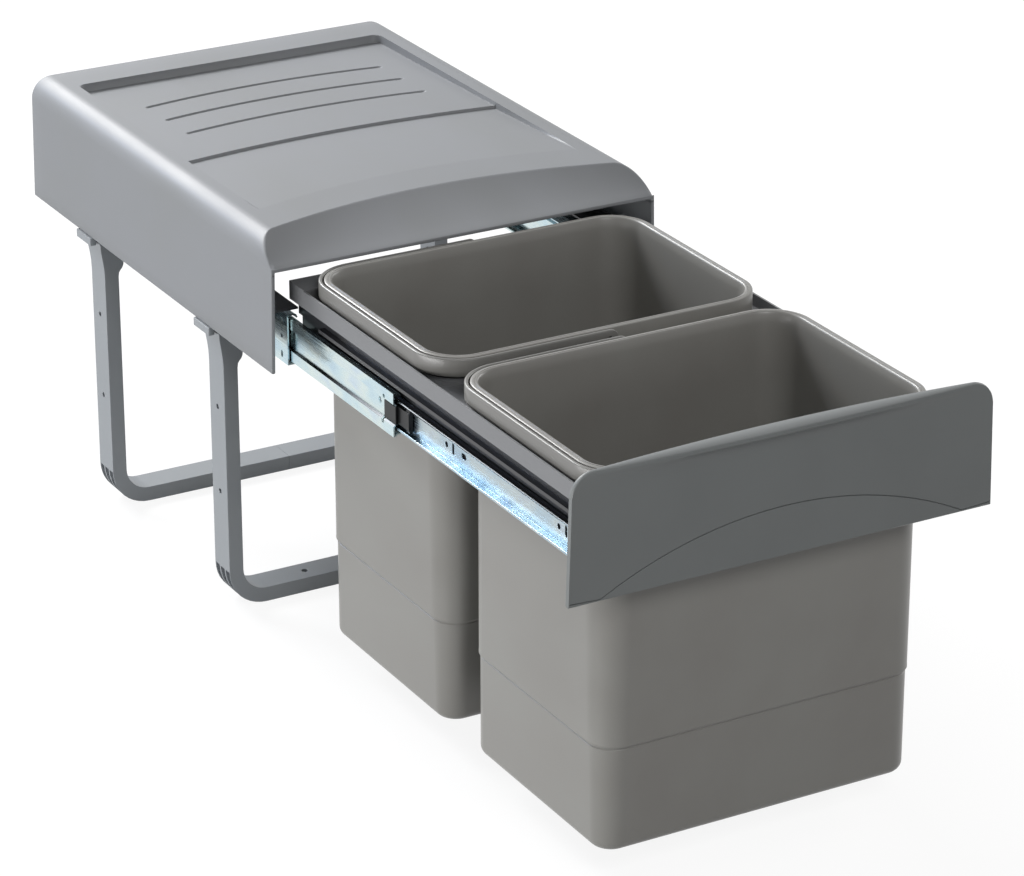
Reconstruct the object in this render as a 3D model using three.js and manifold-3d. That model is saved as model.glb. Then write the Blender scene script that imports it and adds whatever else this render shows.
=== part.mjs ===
// Pull-out waste sorter for a kitchen base cabinet: a moulded hood on two U brackets, a telescopic
// ball-bearing slide under each side of it, and a drawer frame that carries two lift-out bins with
// bail handles behind a front panel. The drawer is shown fully open.
//
// Millimetres. +X right, +Y to the back of the cabinet, +Z up. The origin lies on the cabinet floor,
// midway between the sides and just ahead of the hood: the open drawer reaches as far in front of it
// as the hood reaches behind it. To shut, the drawer moves 433 mm back, the middle slide members half
// as far, and the ball cages a quarter and three quarters as far.

import * as THREE from "three";
import { mergeVertices, toCreasedNormals } from "three/addons/utils/BufferGeometryUtils.js";
import Module from "manifold-3d";

const wasm = await Module();
wasm.setup();

// ---- driving dimensions -------------------------------------------------------------------------

const GAP = 0.3; // clearance between pieces that touch

const HOOD = {
  halfWidth: 167,
  draft: 1.6, // each side leans in by this much towards the top
  front: 3,
  back: 452.5,
  bottom: 241,
  top: 343,
  wall: 3,
  edgeRadius: 18,
  bandFoot: 324, // lower edge of the sloping front band
  archSide: 30, // how far back the band's arched top edge starts at the sides
  archRise: 31, // and how much further back it lies in the middle
};

const RECESS = {
  halfWidth: 139,
  front: 82,
  step: 208,
  back: 414,
  cornerRadius: 8,
  frontDepth: 0.4,
  backDepth: 6.5,
  stepShare: 0.38, // how much of the rear depth the floor has reached at the step
  stepDepth: 2.2,
  bow: 11,
};

const GROOVES = { halfWidth: 105, rows: [271.5, 311, 349], width: 3.4, depth: 1.7, bow: 9 };

const BRACKET = {
  rows: [106, 328.6], // front faces of the front and the rear bracket
  depth: 26.4,
  outer: 158.8,
  inner: 146.5,
  barThickness: 12.4,
  outerRadius: 32,
  innerRadius: 20,
  seam: 4,
  headFoot: 205, // where the uprights start to widen under the hood
  headIn: 5,
  headOut: 3,
  top: 285,
  wallHoles: [98, 170],
  floorHole: 86.6,
};

// the block beside each bracket's head that carries the edge of the hood
const REST = { outer: 168.5, inner: 163.6, height: 6.5, ahead: 4, behind: 5, notch: [157, 5] };

const SLIDE = {
  outerFace: 146.2, // half distance between the outer faces of the two cabinet members
  centre: 259,
  cabinet: [18, 446],
  middle: [-148, 222],
  drawer: [-424, 6],
};

const FRAME = {
  halfWidth: 145,
  front: -439.7,
  back: 15.5,
  floor: 297.6,
  collar: 303.2, // the bins' rims rest on a stepped collar round each well
  collarStep: 300,
  ridge: 307,
  ridgeWidth: 1.5,
  fasciaFoot: 293.5,
  channelWall: 137.5,
  flangeOut: 142.5,
  flange: [280.3, 283.2],
  web: [132.6, 134.5],
  webFoot: 247,
  flangeBack: -26.8,
  wallFoot: 284,
};

const BIN = {
  centres: [-328, -104.25], // front and rear bin
  floor: 26,
  rimTop: 319,
  rimFoot: 303.5,
  rimHalfWidth: 137.5,
  rimHalfDepth: 102.25,
  rimRadius: 33,
  bodyHalfWidth: 132,
  bodyHalfDepth: 96,
  bodyRadius: 27,
  footRadius: 18, // the body's corners tighten towards the floor
  draft: 2.4, // taper of each wall from rim to floor
  wall: 2.2,
  stepHeight: 108,
  step: 1.1,
};

const HANDLE = { gap: 0.9, thickness: 3, foot: 305.2, top: 318.8, eyeRadius: 6.4, pinRadius: 2.7 };

const PANEL = {
  face: -444,
  plate: 4,
  ribHalfWidth: 156,
  rib: [240, 320, 8],
  lugLength: 17,
  halfWidthFoot: 170,
  halfWidthTop: 167.4,
  foot: 236.2,
  top: 331.2,
  cornerRadius: 16,
  lipReach: 8.5,
  lipBack: 3,
  lipCrown: 2.6,
  lipHalfWidth: 156,
  arcHalfWidth: 148,
  arcRise: 37.5,
};

// ---- materials ----------------------------------------------------------------------------------

const paint = (name, color, roughness, metalness) =>
  new THREE.MeshStandardMaterial({ name, color, roughness, metalness });

const HOOD_ABS = paint("silver_grey_abs", 0x9a9fa6, 0.38, 0.25);
const BRACKET_PLASTIC = paint("grey_bracket_plastic", 0x83888d, 0.5, 0.0);
const ZINC = paint("zinc_plated_steel", 0xc9d0d2, 0.25, 1.0);
const BALL_STEEL = paint("bearing_steel", 0xd9dcdd, 0.15, 1.0);
const BLACK_PLASTIC = paint("black_plastic", 0x17181a, 0.5, 0.0);
const BLACK_STEEL = paint("black_coated_steel", 0x202225, 0.5, 0.4);
const FRAME_PLASTIC = paint("dark_grey_frame_plastic", 0x4a4c4f, 0.5, 0.0);
const PANEL_PLASTIC = paint("dark_grey_panel_plastic", 0x62666a, 0.45, 0.0);
const BIN_PLASTIC = paint("grey_polypropylene", 0x82817d, 0.5, 0.0);

// ---- geometry helpers ---------------------------------------------------------------------------

/** A closed three.js geometry as a solid that can be joined and cut. */
function solid(geometry) {
  const bare = geometry.index ? geometry.toNonIndexed() : geometry.clone();
  for (const name of Object.keys(bare.attributes)) if (name !== "position") bare.deleteAttribute(name);
  const merged = mergeVertices(bare, 1e-4);
  return new wasm.Manifold(
    new wasm.Mesh({
      numProp: 3,
      vertProperties: new Float32Array(merged.attributes.position.array),
      triVerts: new Uint32Array(merged.index.array),
    }),
  );
}

/** A solid as a three.js geometry with creased normals. */
function geometryOf(body) {
  const mesh = body.getMesh();
  const geometry = new THREE.BufferGeometry();
  geometry.setAttribute("position", new THREE.BufferAttribute(new Float32Array(mesh.vertProperties), 3));
  geometry.setIndex(new THREE.BufferAttribute(new Uint32Array(mesh.triVerts), 1));
  return geometry;
}

const join = (...bodies) => bodies.reduce((all, body) => all.add(body));
const cut = (body, ...tools) => tools.reduce((rest, tool) => rest.subtract(tool), body);

/** The same geometry on the other side of the middle plane x = 0. */
function mirrored(geometry) {
  const copy = geometry.clone().scale(-1, 1, 1);
  const index = copy.index.array;
  for (let i = 0; i < index.length; i += 3) [index[i], index[i + 1]] = [index[i + 1], index[i]];
  return copy;
}

function polygon(points) {
  return new THREE.Shape(points.map(([x, y]) => new THREE.Vector2(x, y)));
}

/** The corner points of a rectangle with round corners about (x, y), anticlockwise. */
function roundedPoints(halfX, halfY, radius, x = 0, y = 0, segments = 8) {
  const points = [];
  for (const [signX, signY, start] of [[1, -1, -0.5], [1, 1, 0], [-1, 1, 0.5], [-1, -1, 1]]) {
    const [cx, cy] = [x + signX * (halfX - radius), y + signY * (halfY - radius)];
    for (let i = 0; i <= segments; i++) {
      const angle = Math.PI * (start + i / segments / 2);
      points.push(new THREE.Vector2(cx + radius * Math.cos(angle), cy + radius * Math.sin(angle)));
    }
  }
  return points;
}

const roundedRect = (...sizes) => new THREE.Shape(roundedPoints(...sizes));
const roundedHole = (...sizes) => new THREE.Path(roundedPoints(...sizes));

/** A shape drawn in (x, y), extruded from z0 up to z1. */
function alongZ(shape, z0, z1) {
  const geometry = new THREE.ExtrudeGeometry(shape, { depth: z1 - z0, bevelEnabled: false });
  return solid(geometry.translate(0, 0, z0));
}

/** A shape drawn in (x, z), extruded from y0 back to y1. */
function alongY(shape, y0, y1, curveSegments = 6) {
  const geometry = new THREE.ExtrudeGeometry(shape, { depth: y1 - y0, bevelEnabled: false, curveSegments });
  return solid(geometry.rotateX(Math.PI / 2).translate(0, y1, 0));
}

/** A shape drawn in (y, z), extruded from x0 right to x1. */
function alongX(shape, x0, x1) {
  const geometry = new THREE.ExtrudeGeometry(shape, { depth: x1 - x0, bevelEnabled: false });
  const turn = new THREE.Matrix4().makeBasis(
    new THREE.Vector3(0, 1, 0),
    new THREE.Vector3(0, 0, 1),
    new THREE.Vector3(1, 0, 0),
  );
  return solid(geometry.applyMatrix4(turn).translate(x0, 0, 0));
}

function box([x0, x1], [y0, y1], [z0, z1]) {
  const geometry = new THREE.BoxGeometry(x1 - x0, y1 - y0, z1 - z0);
  return solid(geometry.translate((x0 + x1) / 2, (y0 + y1) / 2, (z0 + z1) / 2));
}

/** A round bar or hole of the given radius between two points on one axis. */
function rod(radius, from, to, segments = 10) {
  const a = new THREE.Vector3(...from);
  const b = new THREE.Vector3(...to);
  const geometry = new THREE.CylinderGeometry(radius, radius, a.distanceTo(b), segments);
  const turn = new THREE.Quaternion().setFromUnitVectors(
    new THREE.Vector3(0, 1, 0),
    b.clone().sub(a).normalize(),
  );
  const middle = a.clone().add(b).multiplyScalar(0.5);
  return solid(geometry.applyQuaternion(turn).translate(middle.x, middle.y, middle.z));
}

/** A solid through rings of equally many points, closed by a flat face at each end. */
function loft(rings) {
  const count = rings[0].length;
  const points = rings.flat();
  const index = [];
  for (let r = 0; r + 1 < rings.length; r++) {
    for (let i = 0; i < count; i++) {
      const j = (i + 1) % count;
      const [a, b] = [r * count + i, r * count + j];
      index.push(a, b, b + count, a, b + count, a + count);
    }
  }
  const last = (rings.length - 1) * count;
  const flat = rings[0].map((p, i) => i);
  for (let i = 1; i + 1 < flat.length; i++) {
    index.push(0, i + 1, i);
    index.push(last, last + i, last + i + 1);
  }
  const geometry = new THREE.BufferGeometry();
  const xyz = points.flatMap((p) => [p.x, p.y, p.z]);
  geometry.setAttribute("position", new THREE.Float32BufferAttribute(xyz, 3));
  geometry.setIndex(index);
  return solid(geometry);
}

/** A horizontal ring with round corners, for loft. */
const ringAt = (z, halfX, halfY, radius) =>
  roundedPoints(halfX, halfY, radius).map((p) => new THREE.Vector3(p.x, p.y, z));

/** The outline of a bent sheet of the given thickness whose middle line is the path. */
function bentSheet(path, thickness) {
  const points = path.map(([x, y]) => new THREE.Vector2(x, y));
  const side = (sign) =>
    points.map((p, i) => {
      const before = points[Math.max(i - 1, 0)];
      const after = points[Math.min(i + 1, points.length - 1)];
      const a = p.clone().sub(before).normalize();
      const b = after.clone().sub(p).normalize();
      const along = a.clone().add(b).normalize();
      const reference = a.lengthSq() ? a : b;
      const half = thickness / 2 / Math.max(along.dot(reference), 0.5);
      return p.clone().add(new THREE.Vector2(-along.y, along.x).multiplyScalar(sign * half));
    });
  return new THREE.Shape([...side(1), ...side(-1).reverse()]);
}

const between = (a, b, t) => a + (b - a) * t;
const bowed = (x, halfWidth, rise) => rise * (1 - (x / halfWidth) ** 2);

/** A bar across the part whose front and back faces are bowed towards the back. */
function bowedBar(halfWidth, y0, y1, rise, z0, z1, steps = 12) {
  const xs = Array.from({ length: steps + 1 }, (_, i) => between(-halfWidth, halfWidth, i / steps));
  const front = xs.map((x) => [x, y0 + bowed(x, halfWidth, rise)]);
  const rear = xs.map((x) => [x, y1 + bowed(x, halfWidth, rise)]).reverse();
  return alongZ(polygon([...front, ...rear]), z0, z1);
}

// ---- the hood -----------------------------------------------------------------------------------

/** The space above the sloping front band, lowered by drop. */
function aboveBand(drop) {
  const reach = HOOD.halfWidth + 1;
  const steps = 16;
  const sections = [];
  for (let i = 0; i <= steps; i++) {
    const x = between(-reach, reach, i / steps);
    const arch = HOOD.archSide + bowed(x, reach, HOOD.archRise);
    const foot = HOOD.bandFoot - drop;
    const crest = HOOD.top - drop;
    // the band is slightly hollow between its foot and the arched edge
    const middle = between(foot, crest, 0.5) - 2.2;
    sections.push(
      [
        [HOOD.front - 2, foot - 1],
        [between(HOOD.front, arch, 0.5), middle],
        [arch, crest],
        [arch + 1.5, crest + 60],
        [HOOD.front - 2, crest + 60],
      ].map(([y, z]) => new THREE.Vector3(x, y, z)),
    );
  }
  return loft(sections);
}

/** Front view of the hood, inset from its outside. */
function hoodProfile(inset, bottom) {
  const foot = HOOD.halfWidth - inset;
  const half = foot - HOOD.draft;
  const top = HOOD.top - inset;
  const radius = HOOD.edgeRadius - inset;
  const shape = new THREE.Shape();
  shape.moveTo(-foot, bottom);
  shape.lineTo(foot, bottom);
  shape.lineTo(half, top - radius);
  shape.absarc(half - radius, top - radius, radius, 0, Math.PI / 2);
  shape.lineTo(-half + radius, top);
  shape.absarc(-half + radius, top - radius, radius, Math.PI / 2, Math.PI);
  return shape;
}

/** The recessed field in the hood's top, its floor lowered by drop and its outline grown. */
function recessSpace(y0, y1, depth0, depth1, drop, grow) {
  const half = RECESS.halfWidth + grow;
  const floor = (y) => HOOD.top - drop - between(depth0, depth1, (y - y0) / (y1 - y0));
  const ceiling = HOOD.top + (drop ? -drop + 1 : 5);
  const section = (x) =>
    [
      [y0 - grow, floor(y0)],
      [y1 + grow, floor(y1)],
      [y1 + grow, ceiling],
      [y0 - grow, ceiling],
    ].map(([y, z]) => new THREE.Vector3(x, y, z));
  const [front, back] = [RECESS.front - 60, RECESS.back + grow]; // only the rear corners are round
  const outline = roundedRect(half, (back - front) / 2, RECESS.cornerRadius + grow, 0, (back + front) / 2);
  return loft([section(-half), section(half)]).intersect(alongZ(outline, HOOD.top - 30, HOOD.top + 30));
}

/** An arched groove with round ends, sunk into the recess's floor. */
function hoodGroove(y) {
  const { halfWidth, width, depth, bow } = GROOVES;
  const stepFloor = RECESS.backDepth * RECESS.stepShare;
  const share = (y - RECESS.step) / (RECESS.back - RECESS.step);
  const foot = HOOD.top - between(stepFloor, RECESS.backDepth, share) - depth;
  const ends = [-1, 1].map((side) =>
    rod(width / 2, [side * halfWidth, y, foot], [side * halfWidth, y, HOOD.top + 5], 12));
  return join(bowedBar(halfWidth, y - width / 2, y + width / 2, bow, foot, HOOD.top + 5), ...ends);
}

function hood() {
  const wall = HOOD.wall;
  const outside = cut(alongY(hoodProfile(0, HOOD.bottom), HOOD.front, HOOD.back, 6), aboveBand(0));
  const inside = cut(alongY(hoodProfile(wall, HOOD.bottom - 1), 0, HOOD.back - wall, 6), aboveBand(wall));
  const stepFloor = RECESS.backDepth * RECESS.stepShare;
  const rearField = [RECESS.step, RECESS.back, stepFloor, RECESS.backDepth];
  const frontField = [RECESS.front, RECESS.step + 14, RECESS.frontDepth, stepFloor + RECESS.stepDepth];
  const pan = join(recessSpace(...rearField, wall, wall), recessSpace(...frontField, wall, wall));
  const steps = cut(
    recessSpace(...frontField, 0, 0),
    bowedBar(RECESS.halfWidth + 1, RECESS.step, RECESS.back, RECESS.bow, HOOD.top - 20, HOOD.top + 20),
  );
  return cut(join(cut(outside, inside), pan), recessSpace(...rearField, 0, 0), steps,
    ...GROOVES.rows.map(hoodGroove));
}

// ---- the U brackets -----------------------------------------------------------------------------

/** Left half of a bracket in front view: bar, bend, upright, widened head and slide pad. */
function bracketProfile() {
  const { outer, inner, outerRadius, innerRadius, barThickness: bar, headFoot, top, seam } = BRACKET;
  const ledge = HOOD.bottom - GAP;
  const shape = new THREE.Shape();
  shape.moveTo(seam - GAP / 2, 0);
  shape.lineTo(seam - GAP / 2, bar);
  shape.lineTo(-inner + innerRadius, bar);
  shape.absarc(-inner + innerRadius, bar + innerRadius, innerRadius, 1.5 * Math.PI, Math.PI, true);
  shape.lineTo(-inner, headFoot);
  shape.bezierCurveTo(-inner, headFoot + 8, -inner + BRACKET.headIn, headFoot + 4,
    -inner + BRACKET.headIn, headFoot + 14);
  shape.lineTo(-inner + BRACKET.headIn, SLIDE.centre - 20.5 - GAP);
  shape.lineTo(-inner, SLIDE.centre - 20.5 - GAP);
  shape.lineTo(-inner, top);
  shape.lineTo(-outer, top);
  shape.lineTo(-outer, ledge);
  shape.lineTo(-outer - BRACKET.headOut, ledge);
  shape.lineTo(-outer - BRACKET.headOut, ledge - 4);
  shape.bezierCurveTo(-outer - BRACKET.headOut, ledge - 16, -outer, ledge - 20, -outer, headFoot);
  shape.lineTo(-outer, outerRadius);
  shape.absarc(-outer + outerRadius, outerRadius, outerRadius, Math.PI, 1.5 * Math.PI);
  return shape;
}

/** Three slots side by side in the outside of the bend. */
function bendSlots(front) {
  const { outer, outerRadius: r, depth } = BRACKET;
  const [cx, cz] = [-outer + r, r];
  const shape = new THREE.Shape();
  const [from, to] = [Math.PI * 1.0, Math.PI * 1.27];
  shape.absarc(cx, cz, r + 2, from, to);
  shape.absarc(cx, cz, r - 4.5, to, from, true);
  const pitch = depth / 3;
  return [0, 1, 2].map((i) => alongY(shape, front + i * pitch + 1.0, front + (i + 1) * pitch - 1.0, 3));
}

/** The block that carries the hood's edge; a slot parts it from the head, to which it joins at the back. */
function hoodRest(front) {
  const back = front + BRACKET.depth;
  const ledge = HOOD.bottom - GAP;
  const zs = [ledge - REST.height, ledge];
  return join(
    box([-REST.outer, -REST.inner], [front + REST.ahead, back + REST.behind], zs),
    box([-REST.outer, -BRACKET.outer + 2], [back - 2, back + REST.behind], zs),
  );
}

/**
 * One half of a U bracket on the left; the right half has the socket for the left one's tongue. Only the
 * front bracket is bored for a floor screw beside its bend.
 */
function bracketHalf(front, left) {
  const { outer, inner, depth, barThickness: bar, seam } = BRACKET;
  const middle = front + depth / 2;
  const end = left ? seam : -seam;
  const ledge = HOOD.bottom - GAP;
  const [notchInner, notchHeight] = REST.notch;
  const notchDepth = [front - 1, front + depth - 2];
  const notch = box([-REST.inner, -notchInner], notchDepth, [ledge - notchHeight, ledge]);
  const head = cut(alongY(bracketProfile(), front, front + depth, 5), notch);
  const body = join(head, hoodRest(front));
  const holes = BRACKET.wallHoles.map((z) => rod(2.2, [-outer - 2, middle, z], [-inner + 2, middle, z]));
  const floorHoles = front === BRACKET.rows[0]
    ? [rod(2.6, [-BRACKET.floorHole, middle, -1], [-BRACKET.floorHole, middle, bar + 1])]
    : [];
  const slideHole = rod(2.1, [-outer - 1, middle, SLIDE.centre], [-inner + 1, middle, SLIDE.centre]);
  const shaped = cut(body, ...bendSlots(front), ...holes, ...floorHoles, slideHole);
  if (left) {
    const tongue = box([seam - 8, seam + 16], [front + 5, front + depth - 5], [3.4, bar - 3.4]);
    return join(shaped, tongue);
  }
  // drawn on the left like its mate, so the seam lies on the other side of the middle
  const overhang = box([end - GAP / 2, seam + 1], [front - 1, front + depth + 1], [-1, bar + 1]);
  const socket = box([end - 17, end + 1], [front + 5 - GAP, front + depth - 5 + GAP],
    [3.4 - GAP, bar - 3.4 + GAP]);
  return cut(shaped, overhang, socket);
}

/** Coated steel strip along the heads of both brackets, over the slide. */
function railCap() {
  const z = BRACKET.top + GAP;
  const shape = polygon([[-BRACKET.outer, z], [-139.5, z], [-139.5, z + 1.6], [-157.2, z + 1.6],
    [-157.2, z + 7], [-BRACKET.outer, z + 7]]);
  return alongY(shape, 12, 440);
}

// ---- the telescopic slides ----------------------------------------------------------------------

/** Turns a slide profile, drawn from the outer face inwards about the slide's centre, into a solid. */
function slideMember(path, thickness, [y0, y1]) {
  const shape = bentSheet(path.map(([x, z]) => [x - SLIDE.outerFace, z + SLIDE.centre]), thickness);
  return alongY(shape, y0, y1);
}

/** A path and its reflection below the slide's centre line, as one path. */
const symmetric = (path) => [...path, ...path.map(([x, z]) => [x, -z]).reverse()];

/** A slot or hole through a slide's web. */
function webHole(y, halfY, halfZ, z = 0) {
  const radius = Math.min(halfY, halfZ) * 0.98;
  const shape = roundedRect(halfY, halfZ, radius, y, SLIDE.centre + z, 3);
  return alongX(shape, -SLIDE.outerFace - 2, -SLIDE.outerFace + 14);
}

const screwRows = () => BRACKET.rows.map((front) => front + BRACKET.depth / 2);

function cabinetMember() {
  const path = symmetric([[8.3, 17.0], [7.5, 19.0], [6.0, 19.9], [0.6, 19.9]]);
  const body = slideMember(path, 1.2, SLIDE.cabinet);
  const [y0, y1] = SLIDE.cabinet;
  return cut(
    body,
    ...screwRows().map((y) => webHole(y, 4.4, 4.4)),
    webHole(y0 + 10, 2, 2.8, 12.5),
    webHole(y0 + 10, 1.7, 1.7, 0.5),
    webHole(y0 + 10, 1.6, 2.8, -14),
    webHole(y0 + 26, 5.5, 2.2),
    webHole(225, 5.5, 2.2),
    webHole(y1 - 26, 2.2, 5.5),
  );
}

/** Middle member: its web is pressed in between the two outer bands. */
function middleMember() {
  const path = symmetric([
    [8.3, 14.1], [7.4, 15.25], [4.9, 15.25], [4.0, 16.4], [2.65, 16.4], [2.65, 8.9], [4.7, 7.7],
  ]);
  const body = slideMember(path, 1.1, SLIDE.middle);
  const [y0, y1] = SLIDE.middle;
  return cut(
    body,
    webHole(y0 + 24, 2.2, 2.4, 3.5),
    webHole(y0 + 10.5, 4.6, 6.8),
    webHole(y0 + 16.5, 2, 3.4, -8),
    webHole(y0 + 14.5, 1.6, 1.8, 10),
    webHole(y1 - 20, 2.3, 2.3),
    webHole(y1 - 9, 3, 6),
  );
}

function drawerMember() {
  const path = symmetric([[4.9, 11.5], [5.5, 10.5], [10.5, 10.5]]);
  const body = slideMember(path, 1.1, SLIDE.drawer);
  return cut(
    body,
    ...DRAWER_SCREWS.map((y) => webHole(y, 2.3, 2.3)),
    ...[-213.6, -372.5, -62].map((y) => webHole(y, 2.2, 2.2, 1)),
    ...[-223.4, -382.2].map((y) => webHole(y, 1.5, 4.4, 1)),
    ...[-239, -30].map((y) => webHole(y, 3.6, 2.2, 1)),
  );
}

const DRAWER_SCREWS = [-409, -120];

/** Ball cage: a bent strip with a row of balls along its top and its bottom edge. */
function ballCage(path, [y0, y1], row) {
  const { thickness, balls } = CAGE;
  const strip = slideMember(symmetric(path), thickness, [y0, y1]);
  const [x, z, radius] = row;
  const pitch = (y1 - y0 - 12) / (balls - 1);
  const spheres = [];
  for (const side of [1, -1]) {
    for (let i = 0; i < balls; i++) {
      const ball = new THREE.SphereGeometry(radius, 6, 4);
      spheres.push(solid(ball.translate(x - SLIDE.outerFace, y0 + 6 + i * pitch, SLIDE.centre + side * z)));
    }
  }
  const windows = [0.25, 0.5, 0.75].map((t) => webHole(between(y0, y1, t), 9, 7));
  return join(cut(strip, ...windows), ...spheres);
}

const CAGE = { thickness: 0.4, balls: 4 };
const outerCage = () => ballCage([[7.0, 17.6], [1.65, 17.6]], [24, 174], [5.7, 17.6, 1.4]);
const innerCage = () =>
  ballCage([[8.0, 13.0], [3.75, 13.0], [3.75, 9.7], [5.8, 8.5]], [-142, -12], [6.6, 13.0, 1.35]);

/** Plastic guide in the open end of the middle member; it lies inside the drawer member's channel. */
function slideGuide() {
  const [front] = SLIDE.middle;
  const left = -SLIDE.outerFace;
  const tall = (half) => [SLIDE.centre - half, SLIDE.centre + half];
  const tongue = box([left + 5.6, left + 9.1], [front - 17, front + 5], tall(6.8));
  const lip = box([left + 6.4, left + 9.1], [front - 17, front - 12], tall(9));
  return join(tongue, lip);
}

/** Plastic buffer at the back of the cabinet member, where the shut drawer member stops. */
function slideBuffer() {
  const [, back] = SLIDE.cabinet;
  const zs = [SLIDE.centre - 9, SLIDE.centre + 9];
  const left = -SLIDE.outerFace;
  return join(
    box([left + 3.7, left + 9.8], [back - 6.5, back], zs),
    box([left + 1.2 + GAP, left + 3.9], [back - 2.4, back], zs),
  );
}

/** Countersunk screw that holds the cabinet member to a bracket. */
function cabinetScrew(y) {
  const [x, z] = [-SLIDE.outerFace, SLIDE.centre];
  return join(rod(4.0, [x + 0.1, y, z], [x + 1.0, y, z]), rod(1.8, [x - 9, y, z], [x + 0.5, y, z], 10));
}

/** Domed screw that holds the drawer member to the frame. */
function drawerScrew(y) {
  const [x, z] = [-SLIDE.outerFace, SLIDE.centre];
  const dome = [[0, 0], [3.8, 0], [3.6, 0.7], [2.2, 1.4], [0, 1.6]];
  const profile = dome.map(([r, h]) => new THREE.Vector2(r, h));
  const head = solid(new THREE.LatheGeometry(profile, 12).rotateZ(Math.PI / 2).translate(x + 9.6, y, z));
  return join(head, rod(1.9, [x + 9.5, y, z], [x + 13.4, y, z], 10));
}

// ---- the drawer frame ---------------------------------------------------------------------------

/** Left side rail in front view: fascia with ridge, channel, flange over the slide, and web. */
function railProfile() {
  const [webIn, webOut] = FRAME.web;
  const [flangeFoot, flangeTop] = FRAME.flange;
  return polygon([
    [-FRAME.halfWidth, FRAME.fasciaFoot],
    [-FRAME.halfWidth, FRAME.ridge],
    [-FRAME.halfWidth + FRAME.ridgeWidth, FRAME.ridge],
    [-FRAME.halfWidth + FRAME.ridgeWidth, FRAME.floor],
    [-webIn, FRAME.floor],
    [-webIn, FRAME.webFoot],
    [-webOut, FRAME.webFoot],
    [-webOut, flangeFoot],
    [-FRAME.flangeOut, flangeFoot],
    [-FRAME.flangeOut, flangeTop],
    [-FRAME.channelWall, flangeTop],
    [-FRAME.channelWall, FRAME.fasciaFoot],
  ]);
}

/** Stepped collar that carries a bin's rim. */
function wellCollar(y) {
  const { floor, collar, collarStep } = FRAME;
  return join(
    alongZ(roundedRect(...rimReach(0.6), 0, y), floor - 1, collar),
    alongZ(roundedRect(...rimReach(2.2), 0, y), floor - 1, collarStep),
  );
}

/** Cross walls of the frame, ahead of, between and behind the bins. */
function crossWalls() {
  const { front, back, floor, fasciaFoot, channelWall, wallFoot } = FRAME;
  const wall = (y0, y1, foot = wallFoot) => box([-channelWall, channelWall], [y0, y1], [foot, floor]);
  const [frontBin, rearBin] = BIN.centres;
  const clear = BIN.bodyHalfDepth + 0.8;
  return join(
    wall(front, front + 2.2, fasciaFoot - 4),
    wall(frontBin + clear, frontBin + clear + 2),
    wall(rearBin - clear - 2, rearBin - clear),
    wall(rearBin + clear, rearBin + clear + 2),
    wall(back - 3, back),
  );
}

/** Raised blocks in the frame's two rear corners, cleared for the rear bin's handle. */
function rearCorners() {
  const { halfWidth, back, floor, ridge, channelWall, fasciaFoot } = FRAME;
  const nest = roundedRect(...rimReach(HANDLE.gap + HANDLE.thickness + GAP), 0, BIN.centres[1]);
  return cut(
    box([-halfWidth, halfWidth], [back - 24, back], [fasciaFoot, ridge + 1]),
    box([-118, 118], [back - 25, back + 1], [floor, ridge + 2]),
    alongZ(nest, floor, ridge + 2),
    box([-channelWall, channelWall], [back - 25, back - 3], [fasciaFoot - 1, floor - 1]),
  );
}

function drawerFrame() {
  const { halfWidth, front, back, floor, ridge, channelWall, flangeOut, flangeBack } = FRAME;
  const [flangeFoot, flangeTop] = FRAME.flange;
  const outline = roundedRect(halfWidth - 0.01, (back - front) / 2, 3, 0, (back + front) / 2);
  const plate = alongZ(outline, floor - 2.4, floor);
  const beyond = [flangeBack, back + 1];
  const behindFlange = box([-flangeOut - 1, -channelWall], beyond, [flangeFoot - 1, flangeTop + GAP]);
  const rail = cut(alongY(railProfile(), front, back), behindFlange);
  const body = join(plate, rail, solid(mirrored(geometryOf(rail))), crossWalls(), rearCorners(),
    ...BIN.centres.map(wellCollar));
  const well = [BIN.bodyHalfWidth + 0.6, BIN.bodyHalfDepth + 0.8, BIN.bodyRadius, 0];
  const wells = BIN.centres.map((y) => alongZ(roundedRect(...well, y), 280, ridge + 3));
  const holes = DRAWER_SCREWS.flatMap((y) =>
    [-1, 1].map((side) => rod(2.2, [side * 130, y, SLIDE.centre], [side * 136, y, SLIDE.centre], 12)),
  );
  return cut(body, ...wells, ...holes);
}

// ---- the front panel ----------------------------------------------------------------------------

/** Front view of the panel. */
function panelOutline() {
  const { foot, top, halfWidthFoot: low, halfWidthTop: high, cornerRadius: radius } = PANEL;
  const shape = new THREE.Shape();
  shape.moveTo(-low, foot);
  shape.lineTo(low, foot);
  shape.lineTo(high, top - radius);
  shape.absarc(high - radius, top - radius, radius, 0, Math.PI / 2);
  shape.lineTo(-high + radius, top);
  shape.absarc(-high + radius, top - radius, radius, Math.PI / 2, Math.PI);
  return shape;
}

/** The lip along the top edge, widest and highest in the middle, with a scoop below it. */
function panelLip() {
  const steps = 12;
  const sections = [];
  const half = PANEL.lipHalfWidth;
  for (let i = 0; i <= steps; i++) {
    const x = between(-half, half, i / steps);
    const reach = bowed(x, half, PANEL.lipReach);
    const top = PANEL.top + bowed(x, half, PANEL.lipCrown);
    const face = PANEL.face + 0.02;
    const back = PANEL.face + PANEL.plate - 0.02 + bowed(x, half, PANEL.lipBack);
    sections.push(
      [
        [face + 2, PANEL.top - 16],
        [back, PANEL.top - 4.5],
        [back, top],
        [face - reach + 1.2, top],
        [face - reach, top - 1.2],
        [face - reach, top - 3.2],
        [face - reach * 0.45, PANEL.top - 7.5],
        [face, PANEL.top - 15],
      ].map(([y, z]) => new THREE.Vector3(x, y, z)),
    );
  }
  return loft(sections);
}

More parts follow.
